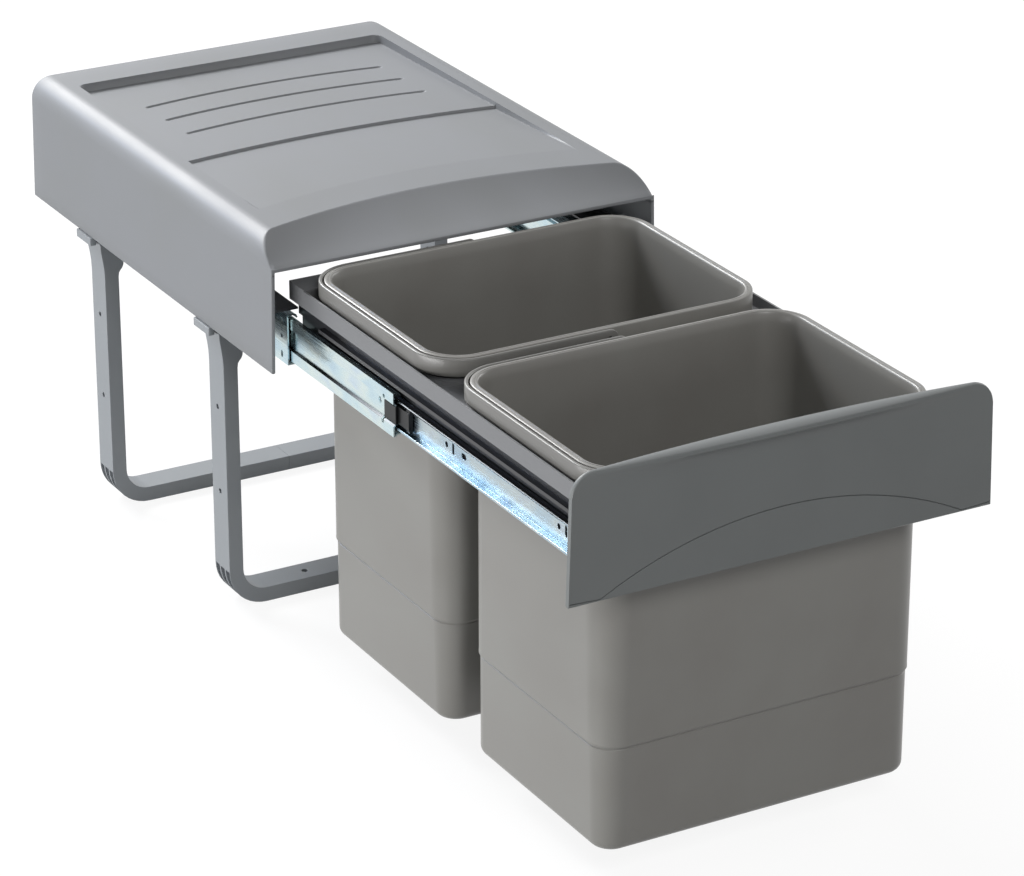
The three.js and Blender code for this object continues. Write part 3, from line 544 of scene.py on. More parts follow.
@dataclass
class Hood:
    """The moulded hood: rounded long edges, a sloping front band, a recessed top with grooves."""

    half_width: float = 167.0
    draft: float = 1.6
    front: float = 3.0
    back: float = 452.5
    bottom: float = 241.0
    top: float = 343.0
    wall: float = 3.0
    edge_radius: float = 18.0
    back_radius: float = 4.0
    band_foot: float = 324.0
    arch_side: float = 30.0
    arch_rise: float = 31.0
    recess_half_width: float = 139.0
    recess_front: float = 68.0
    recess_back: float = 414.0
    recess_corner: float = 8.0
    recess_depth: float = 6.5
    step_row: float = 208.0
    step_bow: float = 11.0
    step_depths: tuple[float, float] = (4.9, 2.7)
    groove_rows: tuple[float, ...] = (271.5, 311.0, 349.0)
    groove_half_width: float = 105.0
    groove_width: float = 4.4
    groove_depth: float = 2.1
    groove_bow: float = 9.0
    rim_round: float = 0.6
    corner_radius: float = 4.5
    band_hollow: float = 1.6

    @property
    def span(self) -> float:
        """Half the width over which the band's and the rows' bows are drawn."""
        return self.half_width + 1

    def profile(self, inset: float = 0.0) -> list[tuple[float, float]]:
        """Front view of the outside from the left foot over the top to the right foot.

        Args:
            inset: how far inside the outer skin the view lies.

        Returns:
            Pairs of x and z.
        """
        foot, top = self.half_width - inset, self.top - inset
        radius = self.edge_radius - inset
        half = foot - self.draft
        side = [between(self.bottom + self.rim_round, self.band_foot - 5, i / 7) for i in range(8)]
        side += [self.band_foot - d - inset for d in (3.6, 2.4, 1.2, 0.0)]
        straight = top - radius - self.bottom
        left = [(-between(foot, half, (z - self.bottom) / straight), z) for z in side]
        arc = [(-half + radius * (1 - cos(a)), top - radius + radius * sin(a))
               for a in (pi / 2 * i / 16 for i in range(17))]
        flat = self.half_width - self.draft - self.edge_radius
        # places across the top, close together at the recess's sides and the grooves' ends
        marks = [146, 142, 139.5, 139, 138.5, 138, 137.2, 136, 134.5, 133, 131, 126, 120, 114,
                 109.5, 108, 106.8, 105.6, 104.4, 102.5, 98, *range(90, 0, -10)]
        top_left = [(-min(m, flat - 0.1), top) for m in marks]
        half_points = left + arc + top_left
        return half_points + [(0.0, top)] + [(-x, z) for x, z in reversed(half_points)]

    def crease(self, x: float, z: float, inset: float = 0.0) -> float:
        """How far back the sloping band meets the skin at a profile point.

        Args:
            x: the point's x.
            z: the point's height.
            inset: how far inside the outer skin it lies.

        Returns:
            The y of the crease.
        """
        arch = self.arch_side + bowed(x, self.span, self.arch_rise)
        slope = (self.top - self.band_foot) / (arch - self.front)
        return self.front + max(z - self.band_foot + inset, 0.0) / slope

    def row(self, start: float, bow: float, x: float) -> float:
        """The y of a row of points that bows back by the given amount in the middle."""
        return start + bowed(x, self.span, bow)

    def rows(self) -> list[tuple[float, float]]:
        """Rows behind the band as pairs of their y at the sides and their bow.

        Returns:
            The rows from the band to the back edge's rounding.
        """
        edge, bow = self.recess_front, self.arch_rise
        rows = [(y, bow) for y in (36, 44, 56, edge - 1.2, edge, edge + 1.6)]
        step = self.matching_row(self.step_row, self.step_bow, self.recess_half_width)
        rows += [(between(72, step[0], i / 9), between(bow, step[1], i / 9)) for i in range(1, 9)]
        rows += [(step[0] + d, step[1]) for d in (-2.5, -0.9, -0.35, 0.35, 0.9, 3.0)]
        previous = rows[-1]
        for centre in self.groove_rows:
            y, bow = self.matching_row(centre, self.groove_bow, self.groove_half_width)
            rows += [(between(previous[0], y - 3.4, t), between(previous[1], bow, t))
                     for t in (0.33, 0.66)]
            rows += [(y + d, bow) for d in (-3.4, -2.4, -2, -1.6, -0.8, 0.8, 1.6, 2, 2.4, 3.4)]
            previous = rows[-1]
        rows += [(between(previous[0], 406, t), previous[1] * (1 - t)) for t in (0.33, 0.66, 1.0)]
        steps = (-6, -4.5, -3, -2, -1.3, -0.7, 0, 0.5, 1.2, 4)
        rows += [(self.recess_back + d, 0) for d in steps]
        return rows + [(430, 0), (self.back - self.back_radius, 0)]

    def matching_row(self, side_y: float, bow: float, half: float) -> tuple[float, float]:
        """The full-width row that runs through a line of the given bow over a narrower span."""
        wide_bow = bow * (self.span / half) ** 2
        return side_y - wide_bow * (1 - (half / self.span) ** 2), wide_bow

    def sunk(self, x: float, y: float) -> float:
        """How far the top lies below the hood's highest face at a place.

        Args:
            x: the place across.
            y: the place from front to back.

        Returns:
            The depth, 0 outside the recess.
        """
        front = self.row(self.recess_front, self.arch_rise, x)
        step = self.step_row + bowed(x, self.recess_half_width, self.step_bow)
        low, high = self.step_depths
        if y <= front:
            return 0.0
        before = low * (y - front) / (step - front)
        behind = between(high, self.recess_depth, (y - step) / (self.recess_back - step))
        floor = between(before, behind, smooth((y - step + 0.35) / 0.7))
        # distance inside the recess's outline, whose rear corners are round
        across = self.recess_half_width - abs(x)
        ahead = self.recess_back - y
        r = self.recess_corner
        inside = min(across, ahead)
        if across < r and ahead < r:
            inside = r - sqrt((r - across) ** 2 + (r - ahead) ** 2)
        return floor * smooth(inside / 0.9) + self.groove(x, y)

    def groove(self, x: float, y: float) -> float:
        """Depth of the three arched grooves, which end in half rounds.

        Args:
            x: the place across.
            y: the place from front to back.

        Returns:
            The depth, 0 between the grooves.
        """
        deepest = 0.0
        for centre in self.groove_rows:
            off = abs(y - centre - bowed(x, self.groove_half_width, self.groove_bow))
            past = max(abs(x) - self.groove_half_width, 0.0)
            share = (self.groove_width / 2 - sqrt(off * off + past * past) + 0.2) / 0.8
            deepest = max(deepest, self.groove_depth * smooth(share))
        return deepest

    def mouth_row(self, inset: float, y: float) -> list[Point]:
        """The skin's edge at the mouth, where it is cut off along the band's foot."""
        return [(x, y, min(z, self.band_foot - inset)) for x, z in self.profile(inset)]

    def skin(self, inset: float) -> list[list[Point]]:
        """Rows of one skin from the band's foot to the back.

        Args:
            inset: 0 for the outside, the wall's thickness for the inside.

        Returns:
            Rows of equally many points, each from the left foot over the top to the right foot.
        """
        profile = self.profile(inset)
        foot, mouth = self.band_foot - inset, self.front + self.rim_round
        rows: list[list[Point]] = []
        height = self.top - self.band_foot
        for t in (0, 0.06, 0.14, 0.24, 0.36, 0.48, 0.6, 0.7, 0.78, 0.85, 0.9, 0.94, 0.97, 1.0):
            ring = []
            for x, z in profile:
                rise = max(z - foot, 0.0)
                y = max(between(self.front, self.crease(x, z, inset), t), mouth)
                hollow = self.band_hollow * 4 * t * (1 - t) * rise / height
                ring.append((x, y, min(z, foot) + rise * t - hollow))
            rows.append(ring)
        rows += [[(x, max(self.crease(x, z, inset), mouth) + behind, z) for x, z in profile]
                 for behind in (0.5, 1.2, 2.1, 3.2)]
        for start, bow in self.rows():
            ring = []
            for x, z in profile:
                y = self.row(start, bow, x)
                ring.append((x, y, z - (self.sunk(x, y) if z > self.top - inset - 0.01 else 0.0)))
            rows.append(ring)
        radius = self.back_radius - inset
        for i in range(1, 7):
            turn = pi / 2 * i / 6
            y = self.back - inset - radius * (1 - sin(turn))
            rows.append([(x, y, z) for x, z in self.profile(inset + radius * (1 - cos(turn)))])
        return rows

    def inside(self, point: Point) -> tuple[float, Vector]:
        """How deep a point lies inside the uncut front view, and that face's normal there.

        Args:
            point: the point.

        Returns:
            The depth, and the outward normal of the nearest face.
        """
        x, _, z = point
        half, top, radius = self.half_width - self.draft, self.top, self.edge_radius
        across, above = abs(x) - (half - radius), z - (top - radius)
        sign = -1.0 if x < 0 else 1.0
        if above <= 0:
            lean = self.draft * -above / (top - radius - self.bottom)
            return half + lean - abs(x), Vector((sign, 0, 0))
        if across <= 0:
            return top - z, Vector((0, 0, 1))
        reach = sqrt(across**2 + above**2)
        return radius - reach, Vector((sign * across / reach, 0, above / reach))

    def eased(self, point: Point) -> Point:
        """Draws a point near the band's edge in to a rounding, wide at the sides, none on top.

        Args:
            point: a point of the outer skin.

        Returns:
            The point on the rounding, or the same point away from it.
        """
        x, y, z = point
        depth, face = self.inside(point)
        arch = self.arch_side + bowed(x, self.span, self.arch_rise)
        pitch = atan2(self.top - self.band_foot, arch - self.front)
        band = Vector((0, -sin(pitch), cos(pitch)))
        under = (self.band_foot - z) * cos(pitch) + (y - self.front) * sin(pitch)
        radius = self.corner_radius * face.x**2
        if depth >= radius or under >= radius or radius < 0.05:
            return point
        on_band = depth > under
        off = max(depth if on_band else under, 0.0)
        own, other = (band, face) if on_band else (face, band)
        along = (own * own.dot(other) - other).normalized()
        turn = pi / 4 * (1 - off / radius)
        slide = radius * (1 - sin(turn)) - off
        moved = Vector(point) - own * radius * (1 - cos(turn)) + along * slide
        return moved.x, max(moved.y, self.front), moved.z

    def feet(self, outer: Point, inner: Point) -> list[Point]:
        """Points that round the skirt's lower edge, from the outer skin to the inner one.

        Args:
            outer: the outer skin's last point.
            inner: the inner skin's last point.

        Returns:
            The four points between them.
        """
        r, low = self.rim_round, self.bottom
        out = r if outer[0] < inner[0] else -r
        return [(outer[0] + out * 0.3, outer[1], low + r * 0.3), (outer[0] + out, outer[1], low),
                (inner[0] - out, inner[1], low), (inner[0] - out * 0.3, inner[1], low + r * 0.3)]

    def build(self) -> None:
        """Makes the hood as one closed skin with a rounded mouth and skirt, and places it."""
        wall, r = self.wall, self.rim_round
        outer = [self.mouth_row(r, self.front), self.mouth_row(r * 0.3, self.front + r * 0.3)]
        outer += [[self.eased(p) for p in row] for row in self.skin(0.0)]
        inner = [self.mouth_row(wall - r, self.front),
                 self.mouth_row(wall - r * 0.3, self.front + r * 0.3), *self.skin(wall)]
        rings = []
        for out, back in zip(outer, inner):
            rings.append([*out, *self.feet(out[-1], back[-1]), *reversed(back),
                          *reversed(self.feet(out[0], back[0]))])
        columns, count = len(outer[0]), len(rings[0])
        faces: list[Sequence[int]] = list(grid_faces(len(rings), count, closed=True))
        # the mouth's edge: a strip between the two skins, closed by a small face at each foot
        mate = 2 * columns + 3
        faces += [(c, c + 1, mate - c - 1, mate - c) for c in range(columns - 1)]
        faces.append(tuple(range(columns - 1, columns + 5)))
        faces.append((mate, *range(mate + 1, count), 0))
        # the back's two faces and the edge between them
        last = (len(rings) - 1) * count
        faces.append(tuple(last + c for c in range(columns)))
        faces.append(tuple(last + c for c in range(columns + 4, mate + 1)))
        edge = (*range(columns - 1, columns + 5), *range(mate, count), 0)
        faces.append(tuple(last + c for c in edge))
        made = mesh_object("moulded_hood", [p for ring in rings for p in ring], faces)
        shade(made, 40)
        dress(made, Finish.SILVER_ABS)
        place_piece(made, "cabinet_side", "hood_abs", "hood")


# ---- the bins ----


@dataclass
class Bin:
    """A tapered bin with a rolled rim, a step low down, and a bail handle on its left."""

    place: str
    centre: float
    floor: float = 26.0
    rim_top: float = 319.0
    rim_foot: float = 303.5
    rim_half_width: float = 137.5
    rim_half_depth: float = 102.25
    rim_radius: float = 33.0
    body_half_width: float = 132.0
    body_half_depth: float = 96.0
    body_radius: float = 27.0
    foot_radius: float = 18.0
    draft: float = 2.4
    wall: float = 2.2
    step_height: float = 108.0
    step: float = 1.1
    handle_thickness: float = 3.0
    handle_foot: float = 305.2
    handle_top: float = 318.8
    gap: float = 0.9
    pin_radius: float = 2.7
    pin_length: float = 5.0
    eye_radius: float = 6.8

    def body_ring(self, z: float, inset: float) -> list[Point]:
        """The body's outline at a height, drawn in by an inset.

        Args:
            z: the height.
            inset: how far it is drawn in.

        Returns:
            The outline's points.
        """
        depth = (self.rim_top - z) / (self.rim_top - self.floor)
        away = inset + self.draft * depth
        half_x, half_y = self.body_half_width - away, self.body_half_depth - away
        radius = between(self.body_radius, self.foot_radius, depth) - inset
        return rounded_ring(half_x, half_y, radius, z, self.centre)

    def rim_ring(self, z: float, inset: float) -> list[Point]:
        """The rim's outline at a height, drawn in by an inset."""
        return rounded_ring(self.rim_half_width - inset, self.rim_half_depth - inset,
                            self.rim_radius - inset, z, self.centre)

    def fillet(self, radius: float = 7.5, steps: int = 7) -> list[tuple[float, float]]:
        """Rise and inset of the rounding between floor and wall."""
        turns = [pi / 2 * i / steps for i in range(steps + 1)]
        return [(radius * (1 - cos(t)), radius * (1 - sin(t))) for t in turns]

    def build_body(self) -> None:
        """Makes the bin as one closed skin, from its underside over the rim to its inner floor."""
        low, base = self.step, self.floor + self.wall
        wall, lip, foot, top = self.wall, self.step_height, self.rim_foot, self.rim_top
        # each pair is a height and how far the outline is drawn in
        outside = [(self.floor + rise, inset + low) for rise, inset in self.fillet()]
        groove_and_step = [(lip - 2.4, low), (lip - 1.9, low + 0.5), (lip - 0.5, low + 0.55),
                           (lip, low + 0.2), (lip, 0.15), (lip + 0.3, -0.1), (lip + 1.3, -0.15),
                           (lip + 2.2, 0)]
        outside += groove_and_step + [(z, 0) for z in (150, 210, 270, top - 2.6)]
        rim = [(top - 2.6, 2), (foot + 0.4, 2), (foot, 1.6), (foot, 0.5), (foot + 0.5, 0),
               (top - 1.3, 0), (top - 0.4, 0.35), (top, 1.2), (top, 2.9), (top - 0.35, 3.15),
               (top - 0.35, 3.5), (top, 3.8), (top, 4.8), (top - 0.5, 5.6), (top - 1.6, 6.1)]
        inside = [(z, wall) for z in (top - 8, 270, 210, 150, lip + 1.3)] + [(lip, wall + low)]
        inside += [(base + rise, inset + wall + low) for rise, inset in reversed(self.fillet())]
        rings = [self.body_ring(*pair) for pair in outside]
        rings += [self.rim_ring(*pair) for pair in rim] + [self.body_ring(*pair) for pair in inside]
        made = loft(f"bin_{self.place}_body", rings)
        pin_z = (self.handle_foot + self.handle_top) / 2
        far = self.rim_half_depth + self.handle_thickness + self.gap
        pins = [cylinder("pin", self.pin_radius,
                         (0, self.centre + side * (far - self.pin_length), pin_z),
                         (0, self.centre + side * far, pin_z)) for side in (-1, 1)]
        made = joined(f"bin_{self.place}_body", [made, *pins])
        shade(made, 38)
        dress(made, Finish.BIN_PP)
        place_piece(made, f"bin_{self.place}", "bin_polypropylene", f"bin_{self.place}")

    def handle_path(self, steps: int = 18) -> list[tuple[float, float, float, float]]:
        """Points of the handle's middle line with the direction outwards, from front to back.

        Args:
            steps: steps in each corner.

        Returns:
            For each point its x and y, and the direction's x and y.
        """
        grow = self.gap + self.handle_thickness / 2
        half_x, half_y = self.rim_half_width + grow, self.rim_half_depth + grow
        radius = self.rim_radius + grow
        path = [(-x, self.centre - half_y, 0.0, -1.0) for x in (-1.0, 8, 40, 75)]
        for sign_y, start in ((-1, 1.5), (1, 1.0)):
            cx, cy = -half_x + radius, self.centre + sign_y * (half_y - radius)
            for i in range(steps + 1):
                angle = pi * (start - i / steps / 2)
                nx, ny = cos(angle), sin(angle)
                path.append((cx + radius * nx, cy + radius * ny, nx, ny))
        return path + [(-x, self.centre + half_y, 0.0, 1.0) for x in (75, 40, 8, -1.0)]

    def build_handle(self) -> None:
        """Makes the bail: a flat strap round the left half of the rim, with an eye at each end."""
        half, soft = self.handle_thickness / 2, 0.9
        foot, top = self.handle_foot, self.handle_top
        section = [(-half, foot + soft), (-half + 0.3, foot + 0.3), (-half + soft, foot),
                   (half - soft, foot), (half - 0.3, foot + 0.3), (half, foot + soft),
                   (half, top - soft), (half - 0.3, top - 0.3), (half - soft, top),
                   (-half + soft, top), (-half + 0.3, top - 0.3), (-half, top - soft)]
        rings = [[(x + nx * off, y + ny * off, z) for off, z in section]
                 for x, y, nx, ny in self.handle_path()]
        strap = loft(f"bin_handle_{self.place}_strap", rings)
        pin_z = (foot + top) / 2
        near = self.rim_half_depth + self.gap
        eyes = [cylinder("eye", self.eye_radius, (0, self.centre + side * (near + 0.02), pin_z),
                         (0, self.centre + side * (near + self.handle_thickness - 0.02), pin_z),
                         sides=48, round_mm=0.8) for side in (-1, 1)]
        made = joined(f"bin_handle_{self.place}_bail", [strap, *eyes])
        shade(made, 38)
        dress(made, Finish.HANDLE_PP)
        place_piece(made, f"handle_{self.place}", "bin_polypropylene", f"bin_handle_{self.place}")


# ---- the front panel ----


@dataclass
class FrontPanel:
    """The drawer's front: a plate with round top corners, a grip lip and a fine groove."""

    face: float = -444.0
    plate: float = 4.0
    foot: float = 236.2
    top: float = 331.2
    half_width_foot: float = 170.0
    half_width_top: float = 167.4
    corner_radius: float = 16.0
    lip_reach: float = 8.3
    lip_back: float = 3.0
    lip_crown: float = 2.6
    lip_half_width: float = 156.0
    arc_half_width: float = 148.0
    arc_rise: float = 37.5
    rib_half_width: float = 156.0
    rib_foot: float = 240.0
    rib_top: float = 320.0
    rib_depth: float = 8.0
    rib_width: float = 2.5
    rib_radius: float = 8.0
    arc_trim: float = 2.6
    groove_foot: float = 2.6
    groove_end: float = 169.2
    scoop: float = 18.0
    lug_length: float = 17.0
    lug_across: tuple[float, float] = (138.0, 144.0)
    lug_heights: tuple[float, float] = (283.7, 293.0)

    def crown(self, x: float) -> tuple[float, float, float]:
        """Height of the top edge, and the lip's reach to the front and to the rear, at x.

        Args:
            x: the place across.

        Returns:
            The height and the two reaches.
        """
        share = max(1 - (x / self.lip_half_width) ** 2, 0.0)
        flat = self.half_width_top - self.corner_radius
        past = min(max(abs(x) - flat, 0.0), self.corner_radius)
        drop = self.corner_radius - sqrt(max(self.corner_radius**2 - past**2, 0.0))
        height = self.top + self.lip_crown * share - drop
        return height, self.lip_reach * share, self.lip_back * share

    def section(self, x: float) -> list[tuple[float, float]]:
        """The panel's closed outline in (y, z) at x.

        Args:
            x: the place across.

        Returns:
            Pairs of y and z.
        """
        top, reach, behind = self.crown(x)
        face, back, scoop = self.face, self.face + self.plate, self.scoop
        low, nose, tail = top - scoop, face - reach, back + behind
        points = [(face, self.foot + 0.7), (face, between(self.foot, low, 0.5)), (face, low)]
        points += [(face - reach * t**2.4, low + (scoop - 3) * t)
                   for t in (i / 8 for i in range(1, 9))]
        points += [(nose - 0.15 * min(reach, 1), top - 1.6), (nose + 0.35, top - 0.45),
                   (nose + 1.1, top), (between(nose + 1.1, tail - 0.9, 0.5), top + 0.25),
                   (tail - 0.9, top), (tail - 0.25, top - 0.3), (tail, top - 0.9),
                   (tail, top - 4.5), (back, top - 14)]
        return points + [(back, self.foot + 0.7), (back - 0.7, self.foot), (face + 0.7, self.foot)]

    def stations(self) -> list[float]:
        """Places across the panel, closer together in its round corners.

        Returns:
            The x of each, from the left.
        """
        flat = self.half_width_top - self.corner_radius
        middle = [flat * (i / 28 - 1) for i in range(57)]
        turns = [pi / 2 * i / 12 for i in range(1, 13)]
        corner = [flat + (self.corner_radius - 0.02) * sin(t) for t in turns]
        return [-x for x in reversed(corner)] + middle + corner

    def groove_cutter(self) -> Object:
        """A thin arched bar that cuts the groove, with a straight run to each lower corner.

        Returns:
            The bar as a linked object.
        """
        rise, half = self.arc_rise, self.arc_half_width
        radius = (half**2 + rise**2) / (2 * rise)
        centre = self.foot + rise - radius
        sweep = asin((half - self.arc_trim) / radius)
        line = [(radius * sin(a), centre + radius * cos(a), sin(a), cos(a))
                for a in (between(-sweep, sweep, i / 64) for i in range(65))]
        edge, end = self.foot + self.groove_foot, self.groove_end
        line = [(-end, edge, 0.0, 1.0), *line, (end, edge, 0.0, 1.0)]
        section = [(-0.55, -1.0), (0.55, -1.0), (0.3, 0.8), (-0.3, 0.8)]
        rings = [[(x + nx * off, self.face + y, z + nz * off) for off, y in section]
                 for x, z, nx, nz in line]
        return loft("groove_cutter", rings)

    def build(self) -> None:
        """Makes the panel, cuts its groove, adds the ribs and lugs behind it, and places it."""
        rings = []
        narrow = (self.half_width_foot - self.half_width_top) / (self.top - self.foot)
        for x in self.stations():
            rings.append([(x * (1 + narrow * (self.top - z) / self.half_width_top), y, z)
                          for y, z in self.section(x)])
        plate = loft("drawer_front_panel", rings)
        cutter = self.groove_cutter()
        cut = plate.modifiers.new("groove", "BOOLEAN")
        cut.operation = "DIFFERENCE"
        cut.object = cutter
        cut.solver = "EXACT"
        apply_modifiers(plate)
        bpy.data.objects.remove(cutter)
        made = joined("drawer_front_panel", [plate, self.rib_frame(), *self.lugs()])
        shade(made, 34)
        dress(made, Finish.PANEL_ABS)
        place_piece(made, "drawer", "panel_plastic", "front_panel")

    def rib_frame(self) -> Object:
        """The stiffening rib that runs round the panel's back.

        Returns:
            The rib as a linked object.
        """
        y0, y1 = self.face + self.plate - 0.2, self.face + self.rib_depth
        middle, half = (self.rib_foot + self.rib_top) / 2, (self.rib_top - self.rib_foot) / 2
        wide, soft = self.rib_width, 0.4
        rings = []
        for inset, y in ((0, y0), (0, y1 - soft), (soft, y1), (wide - soft, y1),
                         (wide, y1 - soft), (wide, y0)):
            flat = rounded_ring(self.rib_half_width - inset, half - inset,
                                self.rib_radius - inset, 0, middle, steps=6)
            rings.append([(x, y, z) for x, z, _ in flat])
        count = len(rings[0])
        faces = grid_faces(len(rings), count, closed=True)
        last = (len(rings) - 1) * count
        faces += [(c, (c + 1) % count, last + (c + 1) % count, last + c) for c in range(count)]
        return mesh_object("rib_frame", [p for ring in rings for p in ring], faces)

    def lugs(self) -> list[Object]:
        """The two lugs that reach into the frame's channels.

        Returns:
            The left and the right lug.
        """
        run = (self.face + self.plate - 0.2, self.face + self.plate + self.lug_length)
        low, high = self.lug_heights
        made = []
        for side in (-1, 1):
            x0, x1 = sorted(side * x for x in self.lug_across)
            corners = [(x0, low), (x1, low), (x1, high), (x0, high)]
            made.append(loft("lug", [[(x, y, z) for x, z in corners] for y in run]))
        return made


# ---- slides ----


@dataclass
class BallCage:
    """A bent strip that keeps two rows of balls apart between two slide members."""

    ring: str
    web: float
    edge: float
    height: float
    ball_offset: float
    ball_radius: float
    balls: int = 9
    pressed: tuple[tuple[float, float], ...] = ()
    thickness: float = 0.4
    outer_face: float = 146.2
    centre: float = 259.0
    end_gap: float = 6.0

    def outline(self) -> list[tuple[float, float]]:
        """Closed section of the bent strip.

        Returns:
            Pairs of the depth from the slide's outer face and the height off its middle.
        """
        t = self.thickness / 2
        h = self.height
        web = [(self.web, h), *self.pressed]
        near = [(x - t, z + (t if i == 0 else 0.0)) for i, (x, z) in enumerate(web)]
        far = [(x + t, z - (t if i == 0 else 0.0)) for i, (x, z) in enumerate(web)]
        upper = [(self.edge, h + t), *near]
        lower = [(x, -z) for x, z in reversed(upper)]
        back_upper = [(self.edge, h - t), *far]
        return upper + lower + [(x, -z) for x, z in back_upper] + list(reversed(back_upper))

    def strip(self, side: str, body_box: tuple[Vector, Vector]) -> Object:
        """The bent strip on one side, as long as its plain node.

        Args:
            side: left or right.
            body_box: the plain node's low and high corner, in metres.

        Returns:
            The strip as a linked object.
        """
        y0, y1 = body_box[0].y / MM, body_box[1].y / MM
        sign = -1 if side == "left" else 1
        rings = [[(sign * (self.outer_face - x), y, self.centre + z) for x, z in self.outline()]
                 for y in (y0, y1)]
        return loft(f"ball_cage_{self.ring}_{side}_strip", rings)

    def build(self, side: str, tree: Tree) -> None:
        """Makes one side's cage, with its balls grown along it by the row tree.

        Args:
            side: left or right.
            tree: the geometry tree of the ball rows.
        """
        node = f"ball_cage_{self.ring}_{side}"
        low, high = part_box(node)
        made = self.strip(side, (low, high))
        dress(made, Finish.BALL_STEEL)
        rows = made.modifiers.new("balls", "NODES")
        rows.node_group = tree
        sign = -1 if side == "left" else 1
        start = (sign * (self.outer_face - self.ball_offset) * MM, low.y + self.end_gap * MM,
                 self.centre * MM)
        length = high.y - low.y - 2 * self.end_gap * MM
        values = {"Start": start, "Length": length, "Half Height": self.height * MM,
                  "Balls": self.balls, "Radius": self.ball_radius * MM}
        for item in tree.interface.items_tree:
            if item.item_type == "SOCKET" and item.name in values:
                rows[item.identifier] = values[item.name]
        made.data.update()
        apply_modifiers(made)
        shade(made, 40)
        place_piece(made, f"cage_{self.ring}_{side}", "bearing_steel", node)


def ball_row_tree(finish: Finish) -> Tree:
    """A geometry tree that adds an upper and a lower row of balls to a cage strip.

    Args:
        finish: the balls' finish.

    Returns:
        The tree, with named inputs for the rows' start, length and half height, and for the
        balls' number in a row and their radius.
    """
    tree = bpy.data.node_groups.new("ball_rows", "GeometryNodeTree")
    face = tree.interface
    face.new_socket("Geometry", in_out="INPUT", socket_type="NodeSocketGeometry")
    face.new_socket("Start", in_out="INPUT", socket_type="NodeSocketVector")
    for name in ("Length", "Half Height", "Radius"):
        face.new_socket(name, in_out="INPUT", socket_type="NodeSocketFloat")
    face.new_socket("Balls", in_out="INPUT", socket_type="NodeSocketInt")
    face.new_socket("Geometry", in_out="OUTPUT", socket_type="NodeSocketGeometry")
    given = add_node(tree, "NodeGroupInput").outputs
    along = add_node(tree, "ShaderNodeCombineXYZ", links={"Y": given["Length"]})
    end = add_node(tree, "ShaderNodeVectorMath", {"operation": "ADD"},
                   {0: given["Start"], 1: along.outputs[0]})
    line = add_node(tree, "GeometryNodeMeshLine", {"mode": "END_POINTS"},
                    {"Count": given["Balls"], "Start Location": given["Start"],
                     "Offset": end.outputs[0]})
    ball = add_node(tree, "GeometryNodeMeshUVSphere", {"Segments": 16, "Rings": 10},
                    {"Radius": given["Radius"]})
    row = add_node(tree, "GeometryNodeInstanceOnPoints",
                   links={"Points": line.outputs["Mesh"], "Instance": ball.outputs["Mesh"]})
    down = add_node(tree, "ShaderNodeMath", {"operation": "MULTIPLY", 1: -1.0},
                    {0: given["Half Height"]})
    rows = []
    for height in (given["Half Height"], down.outputs[0]):
        shift = add_node(tree, "ShaderNodeCombineXYZ", links={"Z": height})
        rows.append(add_node(tree, "GeometryNodeTransform",
                             links={"Geometry": row.outputs["Instances"],
                                    "Translation": shift.outputs[0]}))
    both = add_node(tree, "GeometryNodeJoinGeometry")
    for moved in rows:
        tree.links.new(moved.outputs[0], both.inputs[0])
    real = add_node(tree, "GeometryNodeRealizeInstances", links={"Geometry": both.outputs[0]})
    paint = add_node(tree, "GeometryNodeSetMaterial", links={"Geometry": real.outputs[0]})
    paint.inputs["Material"].default_value = finish.material()
    all_of_it = add_node(tree, "GeometryNodeJoinGeometry")
    tree.links.new(paint.outputs[0], all_of_it.inputs[0])
    tree.links.new(given["Geometry"], all_of_it.inputs[0])
    add_node(tree, "NodeGroupOutput", links={"Geometry": all_of_it.outputs[0]})
    return tree


